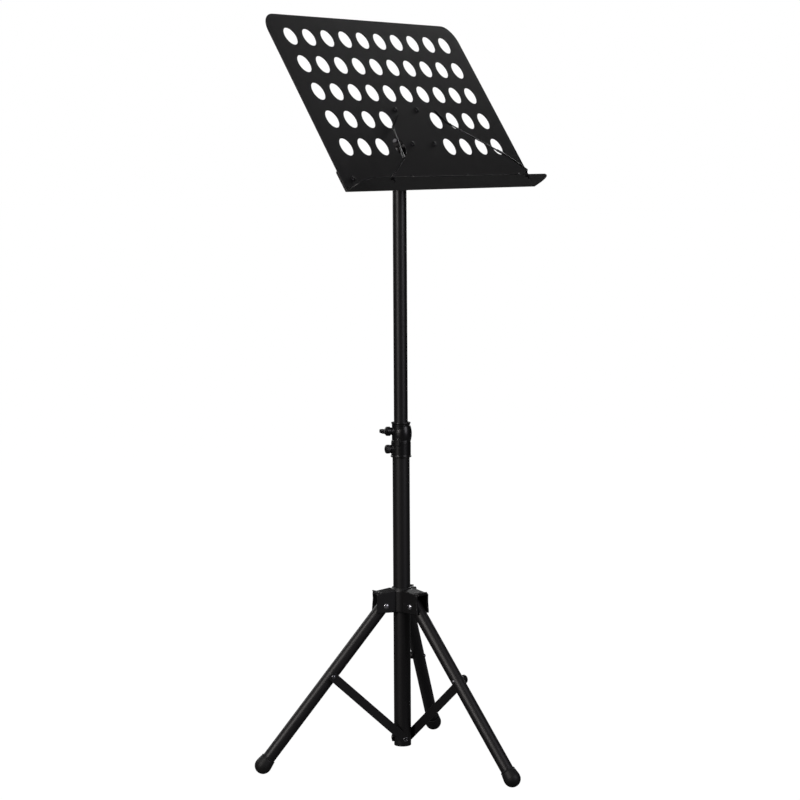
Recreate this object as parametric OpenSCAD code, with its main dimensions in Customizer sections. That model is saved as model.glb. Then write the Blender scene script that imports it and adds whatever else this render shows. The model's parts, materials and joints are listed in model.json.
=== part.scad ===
// Folding music stand: a three-legged base, a two-part telescopic column with a clutch, and a tilting
// perforated desk with a tray and two swinging page holders.
// Frame: millimetres, +Z up, origin on the floor under the column axis. The desk faces -Y and its
// width runs along X. A leg's own frame has X outward, Y to the leg's left side and Z up.

/* [Column] */
// Outer diameter of the lower tube
lower_tube_d = 25.4; // [24:0.2:28]
// Height of the lower end of the column above the floor
column_foot_h = 27; // [22:1:40]
// Outer diameter of the upper tube
upper_tube_d = 20.6; // [19:0.2:21]
// Length of the upper tube
upper_tube_len = 520; // [480:5:600]
// Wall of both column tubes
tube_wall = 1.2; // [1:0.1:1.4]

/* [Tripod] */
// Angle of the rear leg round the column, measured from the desk's right-hand side
base_turn = 20; // [0:1:45]
// Number of legs
leg_count = 3; // [3:1:3]
// Outer diameter of a leg tube
leg_d = 19; // [17:0.5:20]
// Wall of a leg tube
leg_wall = 1.2; // [1:0.1:1.5]
// Height of the leg pivots above the floor when the legs are spread
leg_pivot_h = 241; // [225:1:270]
// Distance of the leg pivots from the column axis
leg_pivot_r = 28; // [27.5:0.5:31]
// Distance of each foot's resting point from the column axis
foot_spread = 215; // [200:1:240]
// Radius of the rounded end of a foot
foot_r = 12.4; // [11.5:0.1:14]
// Length of a foot above the centre of its rounded end
foot_collar_len = 14; // [10:0.5:20]

/* [Struts] */
// Distance along a leg from its hub pivot to its strut pivot
strut_pivot_along = 130; // [115:1:145]
// Height of the struts' lower pivots above the floor
strut_foot_h = 38.5; // [36:0.5:48]
// Width of a strut
strut_w = 13.5; // [11:0.5:16]
// Thickness of a strut
strut_t = 2.5; // [2:0.1:3]

/* [Hub] */
// Radius of the ends of the hub's arms
hub_arm_r = 43; // [41:0.5:46]
// Height of the hub's lower edge below the leg pivots
hub_skirt = 10; // [9:0.5:14]
// Height of the top of the hub's sleeve above the leg pivots
hub_rise = 26; // [25:0.5:32]
// Thickness of the hub's cheeks and roof
hub_wall = 3; // [2.6:0.1:3.4]
// Side clearance between a leg and the hub's cheeks
leg_side_gap = 0.7; // [0.5:0.1:1]
// Direction of the hub's lock knob round the column, from the rear leg
hub_knob_turn = 60; // [50:1:70]

/* [Clutch] */
// Height of the clutch's lower edge above the floor
clutch_base_h = 461; // [455:1:463]
// Height of the lower clutch sleeve
clutch_sleeve_len = 23; // [21:0.5:26]
// Height of the upper clutch collar
clutch_collar_len = 29; // [28:0.5:34]
// Outer diameter of the lower clutch sleeve
clutch_sleeve_d = 29.2; // [28.6:0.2:32]
// Direction of the clutch screws round the column, from the rear leg
clutch_turn = 120; // [100:1:140]
// Width of the wing of the upper clutch screw
wing_w = 24; // [18:1:30]
// Diameter of the knurled head of the lower clutch screw
thumb_d = 13.2; // [12:0.2:15]

/* [Desk] */
// Lean of the desk back from upright
desk_tilt = 31; // [10:1:60]
// Height of the tilt hinge above the floor
hinge_h = 930; // [900:1:960]
// Distance from the face of the desk to the tilt hinge
hinge_back = 32; // [30:0.5:38]
// Distance along the desk from the tray up to the tilt hinge
hinge_up = 105; // [102:1:108]
// Width of the desk along its bottom edge
desk_w = 510; // [490:1:560]
// Distance that each side leans in from the bottom edge to the top edge
desk_taper = 5; // [0:0.5:10]
// Height of the desk plate
desk_h = 287; // [282:1:300]
// Thickness of the desk plate
plate_t = 1.2; // [1:0.1:1.6]
// Radius of the desk's upper corners
desk_corner_r = 30; // [20:1:36]
// Diameter of the round perforations
hole_d = 28; // [20:1:30]
// Distance between neighbouring perforations
hole_pitch = 45; // [43:0.5:47]
// Columns of perforations
hole_cols = 10; // [8:2:10]
// Rows of perforations
hole_rows = 5; // [4:1:5]
// Distance from the top edge to the centres of the first row
hole_top = 36; // [34:1:40]

/* [Tray] */
// Depth of the tray in front of the desk
tray_depth = 36; // [32:1:60]
// Height of the tray's back flange
tray_flange_h = 34; // [30:1:40]
// Sheet thickness of the tray
tray_t = 1.2; // [1:0.1:1.6]
// Distance that each end of the tray stands past the desk plate
tray_overhang = 1; // [0:0.5:4]
// Radius of the tray's front corners
tray_corner_r = 26; // [18:1:30]

/* [Page holders] */
// Distance of the page holders' pivots from the middle of the tray
holder_x = 184; // [175:1:200]
// Distance of the page holders' pivots from the front edge of the tray
holder_inset = 3; // [3:0.25:5]
// Diameter of the page holders' wire
wire_d = 2.2; // [1.8:0.1:2.4]
// Diameter of the sleeves on the wires' tips
sleeve_d = 3.2; // [3:0.1:4]
// Diameter of the ferrules
ferrule_d = 3.6; // [3.2:0.1:4.5]
// Swing of the left holder towards the desk
left_swing = 11.5; // [0:0.5:11.5]
// Swing of the right holder towards the desk
right_swing = 5; // [0:0.5:11.5]

/* [Fits] */
// Radial clearance of a turning shaft in its bore
run_gap = 0.05; // [0.02:0.01:0.08]
// Radial clearance of a sliding tube
slide_gap = 0.1; // [0.05:0.01:0.15]
// Clearance between faces of parts that move past each other
face_gap = 0.3; // [0.2:0.05:0.4]

/* [Hidden] */
$fn = 64;
cut = 0.5;
fine = 128;
leg_step = 360 / leg_count;

// Legs and struts
leg_reach = foot_spread - leg_pivot_r;
leg_drop = leg_pivot_h - foot_r;
leg_angle = atan2(leg_reach, leg_drop);
leg_len = norm([leg_reach, leg_drop]);
leg_bore = leg_d - 2 * leg_wall;
leg_top_len = 4;
leg_end_inset = 3;
plug_len = 18;
plug_rim = 1.5;
plug_inset = 0.5;
foot_lip = 1.4;
foot_bevel = 0.6;
foot_neck_h = 3;
foot_swell = 2;
hub_rivet_d = 5;
rivet_head_d = 8.4;
rivet_head_h = 2.2;
strut_rivet_d = 4;
strut_rivet_head_d = 7.4;
strut_rivet_head_h = 1.8;
strut_rivet_tail_d = 6;
strut_rivet_tail = 0.4;
spacer_d = 11;
spacer_seat = 2;
eyelet_bore = 3;
eyelet_flange_d = 8;
eyelet_flange_h = 1.2;
strut_face = lower_tube_d / 2 + face_gap;
strut_pivot_r = leg_pivot_r + strut_pivot_along * sin(leg_angle);
strut_pivot_h = leg_pivot_h - strut_pivot_along * cos(leg_angle);
strut_rise = strut_pivot_h - strut_foot_h;
strut_len = norm([strut_pivot_r, strut_rise]);
strut_angle = atan2(strut_pivot_r, strut_rise);

// Hub
hub_bottom = leg_pivot_h - hub_skirt;
hub_top = leg_pivot_h + hub_rise;
hub_half_in = leg_d / 2 + leg_side_gap;
hub_half_out = hub_half_in + hub_wall;
hub_sleeve_r = 17;
hub_sleeve_top_r = 14.2;
hub_shoulder_drop = 2.5;
hub_shoulder = hub_top - hub_shoulder_drop;
hub_sleeve_drop = 4.5;
hub_sleeve_h = hub_top - hub_sleeve_drop;
hub_eave_rise = 20;
hub_eave = leg_pivot_h + hub_eave_rise;
hub_waist = 1.5;
hub_waist_r = hub_arm_r - hub_waist;
hub_lip = 0.8;
hub_lip_r = hub_arm_r + hub_lip;
hub_lip_len = 8.5;
hub_lip_rise = 2.1;
hub_lip_drop = 11;
hub_channel_r = 17.2;
hub_bore_r = lower_tube_d / 2 + slide_gap;
hub_knob_rise = 6;
hub_knob_h = leg_pivot_h + hub_knob_rise;
hub_boss_d = 13;
hub_boss_r = 23;
hub_screw_d = 6;
hub_knob_d = 17;
hub_knob_len = 12;
hub_knob_dome = 2;
hub_knob_base = 2;
scallops = 6;
scallop_d = 5.5;
scallop_out = 1.5;

// Column
lower_bore = lower_tube_d - 2 * tube_wall;
upper_bore = upper_tube_d - 2 * tube_wall;
foot_rim = 2;
foot_spigot_len = 14;
foot_spigot_wall = 2;
bush_len = 40;
bush_rim = 2;
hinge_rise = 18;
upper_tube_top = hinge_h - hinge_rise;
upper_tube_bottom = upper_tube_top - upper_tube_len;
glide_len = 22;
glide_spigot_len = 14;
glide_wall = 2.5;

// Clutch
clutch_mid = clutch_base_h + clutch_sleeve_len;
clutch_top = clutch_mid + clutch_collar_len;
collar_seat_h = 23;
lower_tube_top = clutch_mid + collar_seat_h - bush_rim;
clutch_flange = 0.9;
clutch_flange_h = 3;
collar_inset = 0.5;
collar_seat_d = clutch_sleeve_d - 2 * collar_inset;
collar_neck_d = 26.8;
collar_flange_d = 28.6;
collar_flange_h = 2;
collar_barrel_r = 14.8;
collar_barrel_arc = 37;
collar_barrel_shift = 1.4;
collar_barrel_h = 12;
screw_boss_d = 11;
thumb_boss_d = 12.5;
screw_boss_r = 16.6;
wing_up = 16;
wing_h = clutch_mid + wing_up;
thumb_up = 12.5;
thumb_h = clutch_base_h + thumb_up;
clutch_screw_d = 5;
screw_washer = 0.4;
stud_inset = 3;
wing_hub_d = 13.8;
wing_hub_len = 5.4;
wing_cone_len = 3;
wing_cone_d = 7;
wing_root = 1;
wing_corner_r = 6;
wing_t = 5;
wing_reach = 31.2;
thumb_len = 8;
thumb_dome = 1.6;
thumb_flute_d = 1;
thumb_flute_out = 0.2;
thumb_teeth = 24;
index_tab_w = 5;
index_tab_h = 11;
index_tab_turn = 177;
index_tab_t = 1.6;

// Tilt head
head_socket_d = 27;
head_socket_len = 26;
head_cap_t = 4;
tongue_t = 12;
tongue_r = 11;
tilt_bolt_d = 8;
washer_t = 1;
washer_d = 20;
bolt_hex_d = 13;
bolt_hex_h = 5.3;
head_pin_d = 4;
head_pin_drop = 12;
tilt_knob_d = 34;
tilt_knob_len = 17;
tilt_knob_lobes = 6;
tilt_knob_lobe_d = 9;
tilt_knob_step = 0.5;
tilt_knob_neck_d = 18;
tilt_knob_neck_h = 6;
tilt_knob_skirt = 4;
tilt_knob_cap_t = 4;
knob_nut_d = 13;
knob_nut_h = 6.5;

// Desk bracket
bracket_w = 80;
bracket_h = 76;
bracket_t = 1.5;
ear_t = 2.5;
ear_x = tongue_t / 2 + face_gap + washer_t;
ear_rim = 1;
ear_half = tongue_r + ear_rim;
knob_x = ear_x + ear_t + face_gap;
blank_side = 5;
blank_bite = 4;
blank_end = hole_d / 2 - blank_bite;
bracket_rivet_pitch = 58;
plate_rivet_d = 4;
plate_rivet_head_d = 8;
plate_rivet_head_h = 1.6;
plate_rivet_tail_d = 6.5;
plate_rivet_tail_h = 1;
tray_rivet_count = 4;
tray_rivet_inset = 30;
tray_rivet_up = 20;

// Page holders, each point as [inward, up the desk, away from the desk] from the pivot
wire_tail = 6.5;
wire_bend_r = 3;
wire_bend_steps = 4;
wire_sides = 12;
wire_side = [6, -6, -5];
pin_swell = 0.2;
pin_d = wire_d + pin_swell;
pin_rise = 1.4;
wire_root = 3.2;
wire_kick = [3, 7, 6];
wire_elbow = [45.8, 29.8, 12.4];
wire_bend = [123.5, 102.5, -6];
wire_tip = [146, 119, 0];
wire_points = [[0, tray_t, 0], [0, tray_t + wire_root, 0], wire_kick, wire_elbow, wire_bend, wire_tip];
wire_route = rounded(wire_points, wire_bend_r, wire_bend_steps);
ferrule_start = 1.5;
ferrule_len = 17;
sleeve_overlap = 8;
sleeve_cap = 1.5;
clip_d = 8;
clip_t = 1.5;

// ---- placing ----

// Turns children to leg k and into the plane through the column axis
module around(k) {
    rotate([0, 0, base_turn + leg_step * k]) children();
}

// Leg k's own axis: Z runs down the leg from the hub pivot, Y is the pivot axis
module along_leg(k) {
    around(k) translate([leg_pivot_r, 0, leg_pivot_h]) rotate([0, 180 - leg_angle, 0]) children();
}

// Strut k: Z runs up the strut from its lower pivot, Y is the pivot axis
module along_strut(k) {
    around(k) translate([0, 0, strut_foot_h]) rotate([0, strut_angle, 0]) children();
}

// A radial axis at height h: Z runs outward from the column axis
module outward(turn, h) {
    rotate([0, 0, base_turn + turn]) translate([0, 0, h]) rotate([0, 90, 0]) children();
}

// The desk's frame at the tilt hinge, upright before the tilt
module at_hinge() {
    translate([0, 0, hinge_h]) rotate([-desk_tilt, 0, 0]) children();
}

// The face of the desk: X along its width, Y up the plate from the tray, Z towards the reader
module on_desk() {
    at_hinge() translate([0, -hinge_back, -hinge_up]) rotate([90, 0, 0]) children();
}

// The pivot of a page holder; side is -1 for the left one and 1 for the right one
module at_holder(side, swing) {
    on_desk() translate([side * holder_x, 0, tray_depth - holder_inset])
        mirror([side > 0 ? 1 : 0, 0, 0]) rotate([0, swing, 0]) children();
}

// Raises children by h
module lift(h) {
    translate([0, 0, h]) children();
}

// Lays children along X, from x on
module along_x(x) {
    translate([x, 0, 0]) rotate([0, 90, 0]) children();
}

// ---- shared shapes ----

module tube(d_out, d_in, h) {
    difference() {
        cylinder(d = d_out, h = h);
        lift(-cut) cylinder(d = d_in, h = h + 2 * cut);
    }
}

// Hexagonal prism, w wide across its flats
module hexagon(w, h) {
    cylinder(d = w / cos(30), h = h, $fn = 6);
}

// Clearance hole for a radial screw, from the column axis out past its boss
module screw_hole(turn, h, d) {
    outward(turn, h) cylinder(d = d + 2 * run_gap, h = hub_arm_r);
}

// Screw shank from just clear of a tube out to radius out_r
module screw_shank(turn, h, d, tube_d, out_r) {
    start = tube_d / 2 + face_gap;
    outward(turn, h) lift(start) cylinder(d = d, h = out_r - start);
}

// Cylinder along Y, from y0 to y1
module cross_pin(d, y0, y1) {
    translate([0, y0, 0]) rotate([-90, 0, 0]) cylinder(d = d, h = y1 - y0);
}

// Low dome on the plane z = 0, cut from a ball
module dome(d, h) {
    ball_r = (d * d / 4 + h * h) / (2 * h);
    intersection() {
        lift(h - ball_r) sphere(r = ball_r);
        cylinder(d = d, h = h);
    }
}

// Round rod from point a to point b
module rod(a, b, d) {
    v = b - a;
    translate(a) rotate([0, acos(v[2] / norm(v)), atan2(v[1], v[0])]) cylinder(d = d, h = norm(v));
}

function unit(v) = v / norm(v);

// Points of the arc, of radius r, that rounds the corner b between a and c
function arc_points(a, b, c, r, steps) =
    let (u = unit(b - a), v = unit(c - b), turn = acos(u * v), side = unit(v - u * (u * v)))
    let (centre = b - u * r * tan(turn / 2) + side * r)
    [for (i = [0 : steps]) centre + r * (sin(i * turn / steps) * u - cos(i * turn / steps) * side)];

// A route with its corners rounded to radius r
function rounded(p, r, steps) =
    let (last = len(p) - 1)
    [p[0], for (i = [1 : last - 1]) each arc_points(p[i - 1], p[i], p[i + 1], r, steps), p[last]];

// Direction of a route at its point i
function heading(p, i) = unit(p[min(i + 1, len(p) - 1)] - p[max(i - 1, 0)]);

// Ring of points round a route's point i
function ring(p, i, d) =
    let (t = heading(p, i), x = unit(cross(wire_side, t)), y = cross(t, x), step = 360 / wire_sides)
    [for (j = [0 : wire_sides - 1]) p[i] + d / 2 * (cos(j * step) * x + sin(j * step) * y)];

// Wire along a route
module bent_rod(route, d) {
    n = len(route);
    m = wire_sides;
    walls = [for (i = [0 : n - 2], j = [0 : m - 1]) let (a = i * m + j, b = i * m + (j + 1) % m)
        each [[a, a + m, b], [b, a + m, b + m]]];
    ends = [[for (j = [0 : m - 1]) j], [for (j = [m - 1 : -1 : 0]) (n - 1) * m + j]];
    polyhedron([for (i = [0 : n - 1]) each ring(route, i, d)], concat(walls, ends));
}

// Point at a distance s from a towards b
function towards(a, b, s) = a + (b - a) * s / norm(b - a);

// ---- column ----

// Holes through which the clutch screws reach the upper tube
module clutch_screw_holes() {
    for (h = [wing_h, thumb_h]) screw_hole(clutch_turn, h, clutch_screw_d);
}

module lower_tube() {
    foot = column_foot_h + foot_rim;
    color("#1b1a1c") difference() {
        lift(foot) tube(lower_tube_d, lower_bore, lower_tube_top - foot);
        clutch_screw_holes();
    }
}

module column_foot_plug() {
    color("#141416") lift(column_foot_h) {
        cylinder(d = lower_tube_d, h = foot_rim);
        tube(lower_bore, lower_bore - 2 * foot_spigot_wall, foot_rim + foot_spigot_len);
    }
}

// Nylon bush in the top of the lower tube, for the upper tube to slide in
module column_bush() {
    foot = lower_tube_top - bush_len;
    bore = upper_tube_d + 2 * slide_gap;
    color("#202024") difference() {
        union() {
            lift(foot) cylinder(d = lower_bore, h = bush_len);
            lift(lower_tube_top) cylinder(d = lower_tube_d, h = bush_rim);
        }
        lift(foot - cut) cylinder(d = bore, h = bush_len + bush_rim + 2 * cut);
        clutch_screw_holes();
    }
}

module upper_tube() {
    color("#1b1a1c") difference() {
        lift(upper_tube_bottom) tube(upper_tube_d, upper_bore, upper_tube_len);
        lift(upper_tube_top - head_pin_drop) cross_pin(head_pin_d, -upper_tube_d, upper_tube_d);
    }
}

// Nylon glide under the upper tube; the tube turns on its spigot
module tube_glide() {
    spigot_d = upper_bore - 2 * run_gap;
    body_d = lower_bore - 2 * slide_gap;
    full_len = glide_len + face_gap + glide_spigot_len;
    color("#26262a") lift(upper_tube_bottom - face_gap - glide_len) difference() {
        union() {
            cylinder(d = body_d, h = glide_len);
            cylinder(d = spigot_d, h = full_len);
        }
        lift(-cut) cylinder(d = spigot_d - 2 * glide_wall, h = full_len + 2 * cut);
    }
}

// ---- clutch ----

module clutch_sleeve() {
    r = clutch_sleeve_d / 2;
    flange_r = r + clutch_flange;
    color("#161518") difference() {
        union() {
            lift(clutch_base_h) rotate_extrude() polygon([
                [0, 0], [r, 0], [flange_r, clutch_flange], [flange_r, clutch_flange_h - clutch_flange],
                [r, clutch_flange_h], [r, clutch_sleeve_len], [0, clutch_sleeve_len]]);
            outward(clutch_turn, thumb_h) cylinder(d = thumb_boss_d, h = screw_boss_r);
        }
        lift(clutch_base_h - cut) cylinder(d = lower_tube_d, h = clutch_sleeve_len + 2 * cut);
        screw_hole(clutch_turn, thumb_h, clutch_screw_d);
    }
}

// Barrel-shaped body of the collar, shifted away from its screw
module collar_barrel() {
    rotate([0, 0, base_turn + clutch_turn])
        translate([-collar_barrel_shift, 0, clutch_mid + collar_barrel_h])
            rotate_extrude() intersection() {
                translate([collar_barrel_r - collar_barrel_arc, 0])
                    circle(r = collar_barrel_arc, $fn = fine);
                translate([0, -collar_barrel_h]) square([collar_barrel_r, 2 * collar_barrel_h]);
            }
}

// Tab on the collar that lies over the sleeve, the same above and below the joint
module index_tab() {
    straight = (index_tab_h - index_tab_w) / 2;
    outward(index_tab_turn, clutch_mid) lift(clutch_sleeve_d / 2 - index_tab_t)
        for (s = [0, 1]) mirror([s, 0, 0]) {
            translate([straight, 0, 0]) cylinder(d = index_tab_w, h = 2 * index_tab_t);
            translate([0, -index_tab_w / 2, 0]) cube([straight, index_tab_w, 2 * index_tab_t]);
        }
}

module clutch_collar() {
    color("#161518") difference() {
        union() {
            lift(clutch_mid) cylinder(d = collar_neck_d, h = clutch_collar_len);
            lift(clutch_mid) cylinder(d = collar_seat_d, h = collar_flange_h);
            lift(clutch_top - collar_flange_h) cylinder(d = collar_flange_d, h = collar_flange_h);
            collar_barrel();
            outward(clutch_turn, wing_h) cylinder(d = screw_boss_d, h = screw_boss_r);
            index_tab();
        }
        lift(clutch_mid - index_tab_h)
            cylinder(d = clutch_sleeve_d + face_gap, h = index_tab_h - face_gap);
        lift(clutch_mid - cut) cylinder(d = lower_tube_d, h = collar_seat_h + cut);
        lift(clutch_mid) cylinder(d = upper_tube_d + 2 * slide_gap, h = clutch_collar_len + cut);
        screw_hole(clutch_turn, wing_h, clutch_screw_d);
    }
}

module wing_screw_stud() {
    end_r = screw_boss_r + wing_hub_len;
    color("#8f9094") screw_shank(clutch_turn, wing_h, clutch_screw_d, upper_tube_d, end_r);
}

// Conical hub with a flat wing whose plane holds the screw's axis
module wing_screw_knob() {
    base_r = screw_boss_r + screw_washer;
    shoulder = base_r + wing_hub_len;
    color("#141316") difference() {
        outward(clutch_turn, wing_h) {
            lift(base_r) cylinder(d = wing_hub_d, h = wing_hub_len);
            lift(shoulder) cylinder(d1 = wing_hub_d, d2 = wing_cone_d, h = wing_cone_len);
            wing_blade(shoulder - wing_root);
        }
        wing_screw_stud();
    }
}

// Flat wing from root out along the screw, rounded at its outer corners
module wing_blade(root) {
    tip = wing_reach - wing_corner_r;
    root_w = wing_hub_d - 2 * wing_root;
    translate([wing_t / 2, 0, 0]) rotate([0, -90, 0]) linear_extrude(wing_t) {
        for (s = [-1, 1]) translate([tip, s * (wing_w / 2 - wing_corner_r)]) circle(r = wing_corner_r);
        translate([tip, wing_corner_r - wing_w / 2]) square([wing_corner_r, wing_w - 2 * wing_corner_r]);
        polygon([[root, -root_w / 2], [tip, -wing_w / 2], [tip, wing_w / 2], [root, root_w / 2]]);
    }
}

module thumb_screw_stud() {
    end_r = screw_boss_r + thumb_len - stud_inset;
    color("#8f9094") screw_shank(clutch_turn, thumb_h, clutch_screw_d, upper_tube_d, end_r);
}

// Knurled head: shallow flutes cut along its rim
module thumb_screw_head() {
    base_r = screw_boss_r + screw_washer;
    color("#141316") difference() {
        outward(clutch_turn, thumb_h) lift(base_r) {
            cylinder(d = thumb_d, h = thumb_len - thumb_dome);
            lift(thumb_len - thumb_dome) dome(thumb_d, thumb_dome);
        }
        thumb_screw_stud();
        outward(clutch_turn, thumb_h) for (i = [0 : thumb_teeth - 1])
            rotate([0, 0, i * 360 / thumb_teeth])
                translate([thumb_d / 2 + thumb_flute_out, 0, base_r - cut])
                    cylinder(d = thumb_flute_d, h = thumb_len + 2 * cut);
    }
}

// ---- hub ----

// Side view of an arm: x outward, y up
module arm_profile() {
    polygon([[hub_sleeve_top_r, hub_bottom], [hub_arm_r, hub_bottom],
        [hub_waist_r, hub_eave - hub_lip_drop], [hub_lip_r, hub_eave + hub_lip_rise],
        [hub_arm_r - hub_lip_len, hub_eave], [hub_sleeve_top_r, hub_shoulder]]);
}

// Side view of the slot in an arm, open below and at its end
module slot_profile() {
    roof = hub_eave - hub_wall;
    polygon([[hub_channel_r, hub_bottom - cut], [2 * hub_arm_r, hub_bottom - cut], [2 * hub_arm_r, roof],
        [hub_arm_r - hub_lip_len, roof], [hub_channel_r, hub_shoulder - hub_wall]]);
}

// Extrudes a side view by half_w to each side of the leg's plane
module slab(half_w) {
    translate([0, half_w, 0]) rotate([90, 0, 0]) linear_extrude(2 * half_w) children();
}

module hub_body() {
    color("#161518") difference() {
        union() {
            rotate_extrude() polygon([[0, hub_bottom], [hub_sleeve_r, hub_bottom],
                [hub_sleeve_r, hub_sleeve_h], [hub_sleeve_top_r, hub_top], [0, hub_top]]);
            for (k = [0 : leg_count - 1]) around(k) slab(hub_half_out) arm_profile();
            outward(hub_knob_turn, hub_knob_h) cylinder(d = hub_boss_d, h = hub_boss_r);
        }
        for (k = [0 : leg_count - 1]) around(k) {
            slab(hub_half_in) slot_profile();
            translate([leg_pivot_r, 0, leg_pivot_h])
                cross_pin(hub_rivet_d, -hub_half_out - cut, hub_half_out + cut);
        }
        lift(hub_bottom - cut) cylinder(r = hub_bore_r, h = hub_top - hub_bottom + 2 * cut);
        screw_hole(hub_knob_turn, hub_knob_h, hub_screw_d);
    }
}

// One solid rivet across each arm, with a domed head at both ends
module hub_rivets() {
    color("#c8c9cc") for (k = [0 : leg_count - 1]) around(k) translate([leg_pivot_r, 0, leg_pivot_h]) {
        cross_pin(hub_rivet_d, -hub_half_out, hub_half_out);
        for (s = [0, 1]) mirror([0, s, 0])
            translate([0, hub_half_out, 0]) rotate([-90, 0, 0]) dome(rivet_head_d, rivet_head_h);
    }
}

module hub_lock_stud() {
    end_r = hub_boss_r + hub_knob_len - stud_inset;
    color("#8f9094") screw_shank(hub_knob_turn, hub_knob_h, hub_screw_d, lower_tube_d, end_r);
}

// Round grip with finger scallops
module hub_lock_knob() {
    base_r = hub_boss_r + screw_washer;
    color("#141316") difference() {
        outward(hub_knob_turn, hub_knob_h) lift(base_r) {
            cylinder(d = hub_knob_d, h = hub_knob_len - hub_knob_dome);
            lift(hub_knob_len - hub_knob_dome) dome(hub_knob_d, hub_knob_dome);
        }
        hub_lock_stud();
        outward(hub_knob_turn, hub_knob_h) for (i = [0 : scallops - 1])
            rotate([0, 0, i * 360 / scallops])
                translate([hub_knob_d / 2 + scallop_out, 0, base_r + hub_knob_base])
                    cylinder(d = scallop_d, h = hub_knob_len);
    }
}

// ---- legs ----

module leg_tube(k) {
    full_len = leg_top_len + leg_len - leg_end_inset;
    color("#1b1a1c") along_leg(k) difference() {
        lift(-leg_top_len) tube(leg_d, leg_bore, full_len);
        cross_pin(hub_rivet_d + 2 * run_gap, -leg_d, leg_d);
        lift(strut_pivot_along) cross_pin(strut_rivet_d, -leg_d, leg_d);
    }
}

// Nylon plug in the tube's upper end, bored for the hub rivet
module leg_plug(k) {
    color("#26262a") along_leg(k) difference() {
        union() {
            lift(-leg_top_len) cylinder(d = leg_bore, h = plug_len);
            lift(-leg_top_len - plug_rim) cylinder(d = leg_d - 2 * plug_inset, h = plug_rim);
        }
        cross_pin(hub_rivet_d + 2 * run_gap, -leg_d, leg_d);
    }
}

// Side view of the foot's cup, from its collar down to the middle of its ball
module foot_profile() {
    collar_r = leg_d / 2 + foot_lip;
    polygon([[0, -foot_collar_len], [collar_r - foot_bevel, -foot_collar_len],
        [collar_r, foot_bevel - foot_collar_len],
        [collar_r + foot_bevel / 2, foot_neck_h - foot_collar_len],
        [foot_r, -foot_swell], [foot_r, 0], [0, 0]]);
}

// Rubber foot: a cup on the tube's end with a ball-shaped sole
module foot(k) {
    cup_depth = foot_collar_len - leg_end_inset;
    color("#111113") along_leg(k) lift(leg_len) difference() {
        union() {
            sphere(r = foot_r);
            rotate_extrude() foot_profile();
        }
        lift(-foot_collar_len - cut) cylinder(d = leg_d, h = cup_depth + cut);
    }
}

// Rivet across the leg, through the spacer and the strut
module strut_rivet(k) {
    head_y = strut_face + strut_t + face_gap;
    tail_y = leg_d / 2;
    color("#b9babd") along_leg(k) lift(strut_pivot_along) {
        cross_pin(strut_rivet_d, -tail_y - strut_rivet_tail, head_y);
        translate([0, head_y, 0]) rotate([-90, 0, 0]) dome(strut_rivet_head_d, strut_rivet_head_h);
        translate([0, -tail_y, 0]) rotate([90, 0, 0]) dome(strut_rivet_tail_d, strut_rivet_head_h);
    }
}

// Saddle washer between the round leg and the flat strut
module strut_spacer(k) {
    color("#141416") along_leg(k) lift(strut_pivot_along) difference() {
        cross_pin(spacer_d, leg_d / 2 - spacer_seat, strut_face - face_gap);
        cross_pin(strut_rivet_d, 0, strut_face);
        lift(-spacer_d) cylinder(d = leg_d, h = 2 * spacer_d);
    }
}

module strut(k) {
    outer = strut_face + strut_t;
    color("#1b1a1c") along_strut(k) difference() {
        union() {
            for (h = [0, strut_len]) lift(h) cross_pin(strut_w, strut_face, outer);
            translate([-strut_w / 2, strut_face, 0]) cube([strut_w, strut_t, strut_len]);
        }
        cross_pin(hub_rivet_d, 0, outer + cut);
        lift(strut_len) cross_pin(strut_rivet_d + 2 * run_gap, 0, outer + cut);
    }
}

// Hollow rivet at the strut's lower end
module strut_eyelet(k) {
    outer = strut_face + strut_t;
    color("#8f9094") along_strut(k) difference() {
        union() {
            cross_pin(hub_rivet_d, strut_face, outer);
            cross_pin(eyelet_flange_d, outer, outer + eyelet_flange_h);
        }
        cross_pin(eyelet_bore, 0, outer + eyelet_flange_h + cut);
    }
}

// ---- tilt head ----

module tilt_head() {
    socket_z = upper_tube_top - head_socket_len;
    socket_h = head_socket_len + head_cap_t;
    neck_h = hinge_h - upper_tube_top;
    color("#161518") difference() {
        union() {
            lift(socket_z) cylinder(d = head_socket_d, h = socket_h);
            translate([-tongue_t / 2, -tongue_r, upper_tube_top]) cube([tongue_t, 2 * tongue_r, neck_h]);
            lift(hinge_h) along_x(-tongue_t / 2) cylinder(r = tongue_r, h = tongue_t);
        }
        lift(socket_z - cut) cylinder(d = upper_tube_d, h = head_socket_len + cut);
        lift(hinge_h) along_x(-tongue_t) cylinder(d = tilt_bolt_d + 2 * run_gap, h = 2 * tongue_t);
        lift(upper_tube_top - head_pin_drop) cross_pin(head_pin_d, -head_socket_d, head_socket_d);
    }
}

module tilt_head_pin() {
    half = head_socket_d / 2;
    color("#8f9094") lift(upper_tube_top - head_pin_drop) cross_pin(head_pin_d, -half, half);
}

// Clamping bolt of the tilt hinge: hexagonal head at the left, shank to the right
module tilt_bolt() {
    head_x = ear_x + ear_t;
    shank_len = 2 * head_x + tilt_knob_len - tilt_knob_cap_t;
    color("#8f9094") at_hinge() {
        along_x(-head_x) cylinder(d = tilt_bolt_d, h = shank_len);
        along_x(-head_x - bolt_hex_h) hexagon(bolt_hex_d, bolt_hex_h);
    }
}

module tilt_washers() {
    color("#3a3734") at_hinge() for (s = [0, 1]) mirror([s, 0, 0])
        along_x(tongue_t / 2 + face_gap) tube(washer_d, tilt_bolt_d, washer_t);
}

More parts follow.
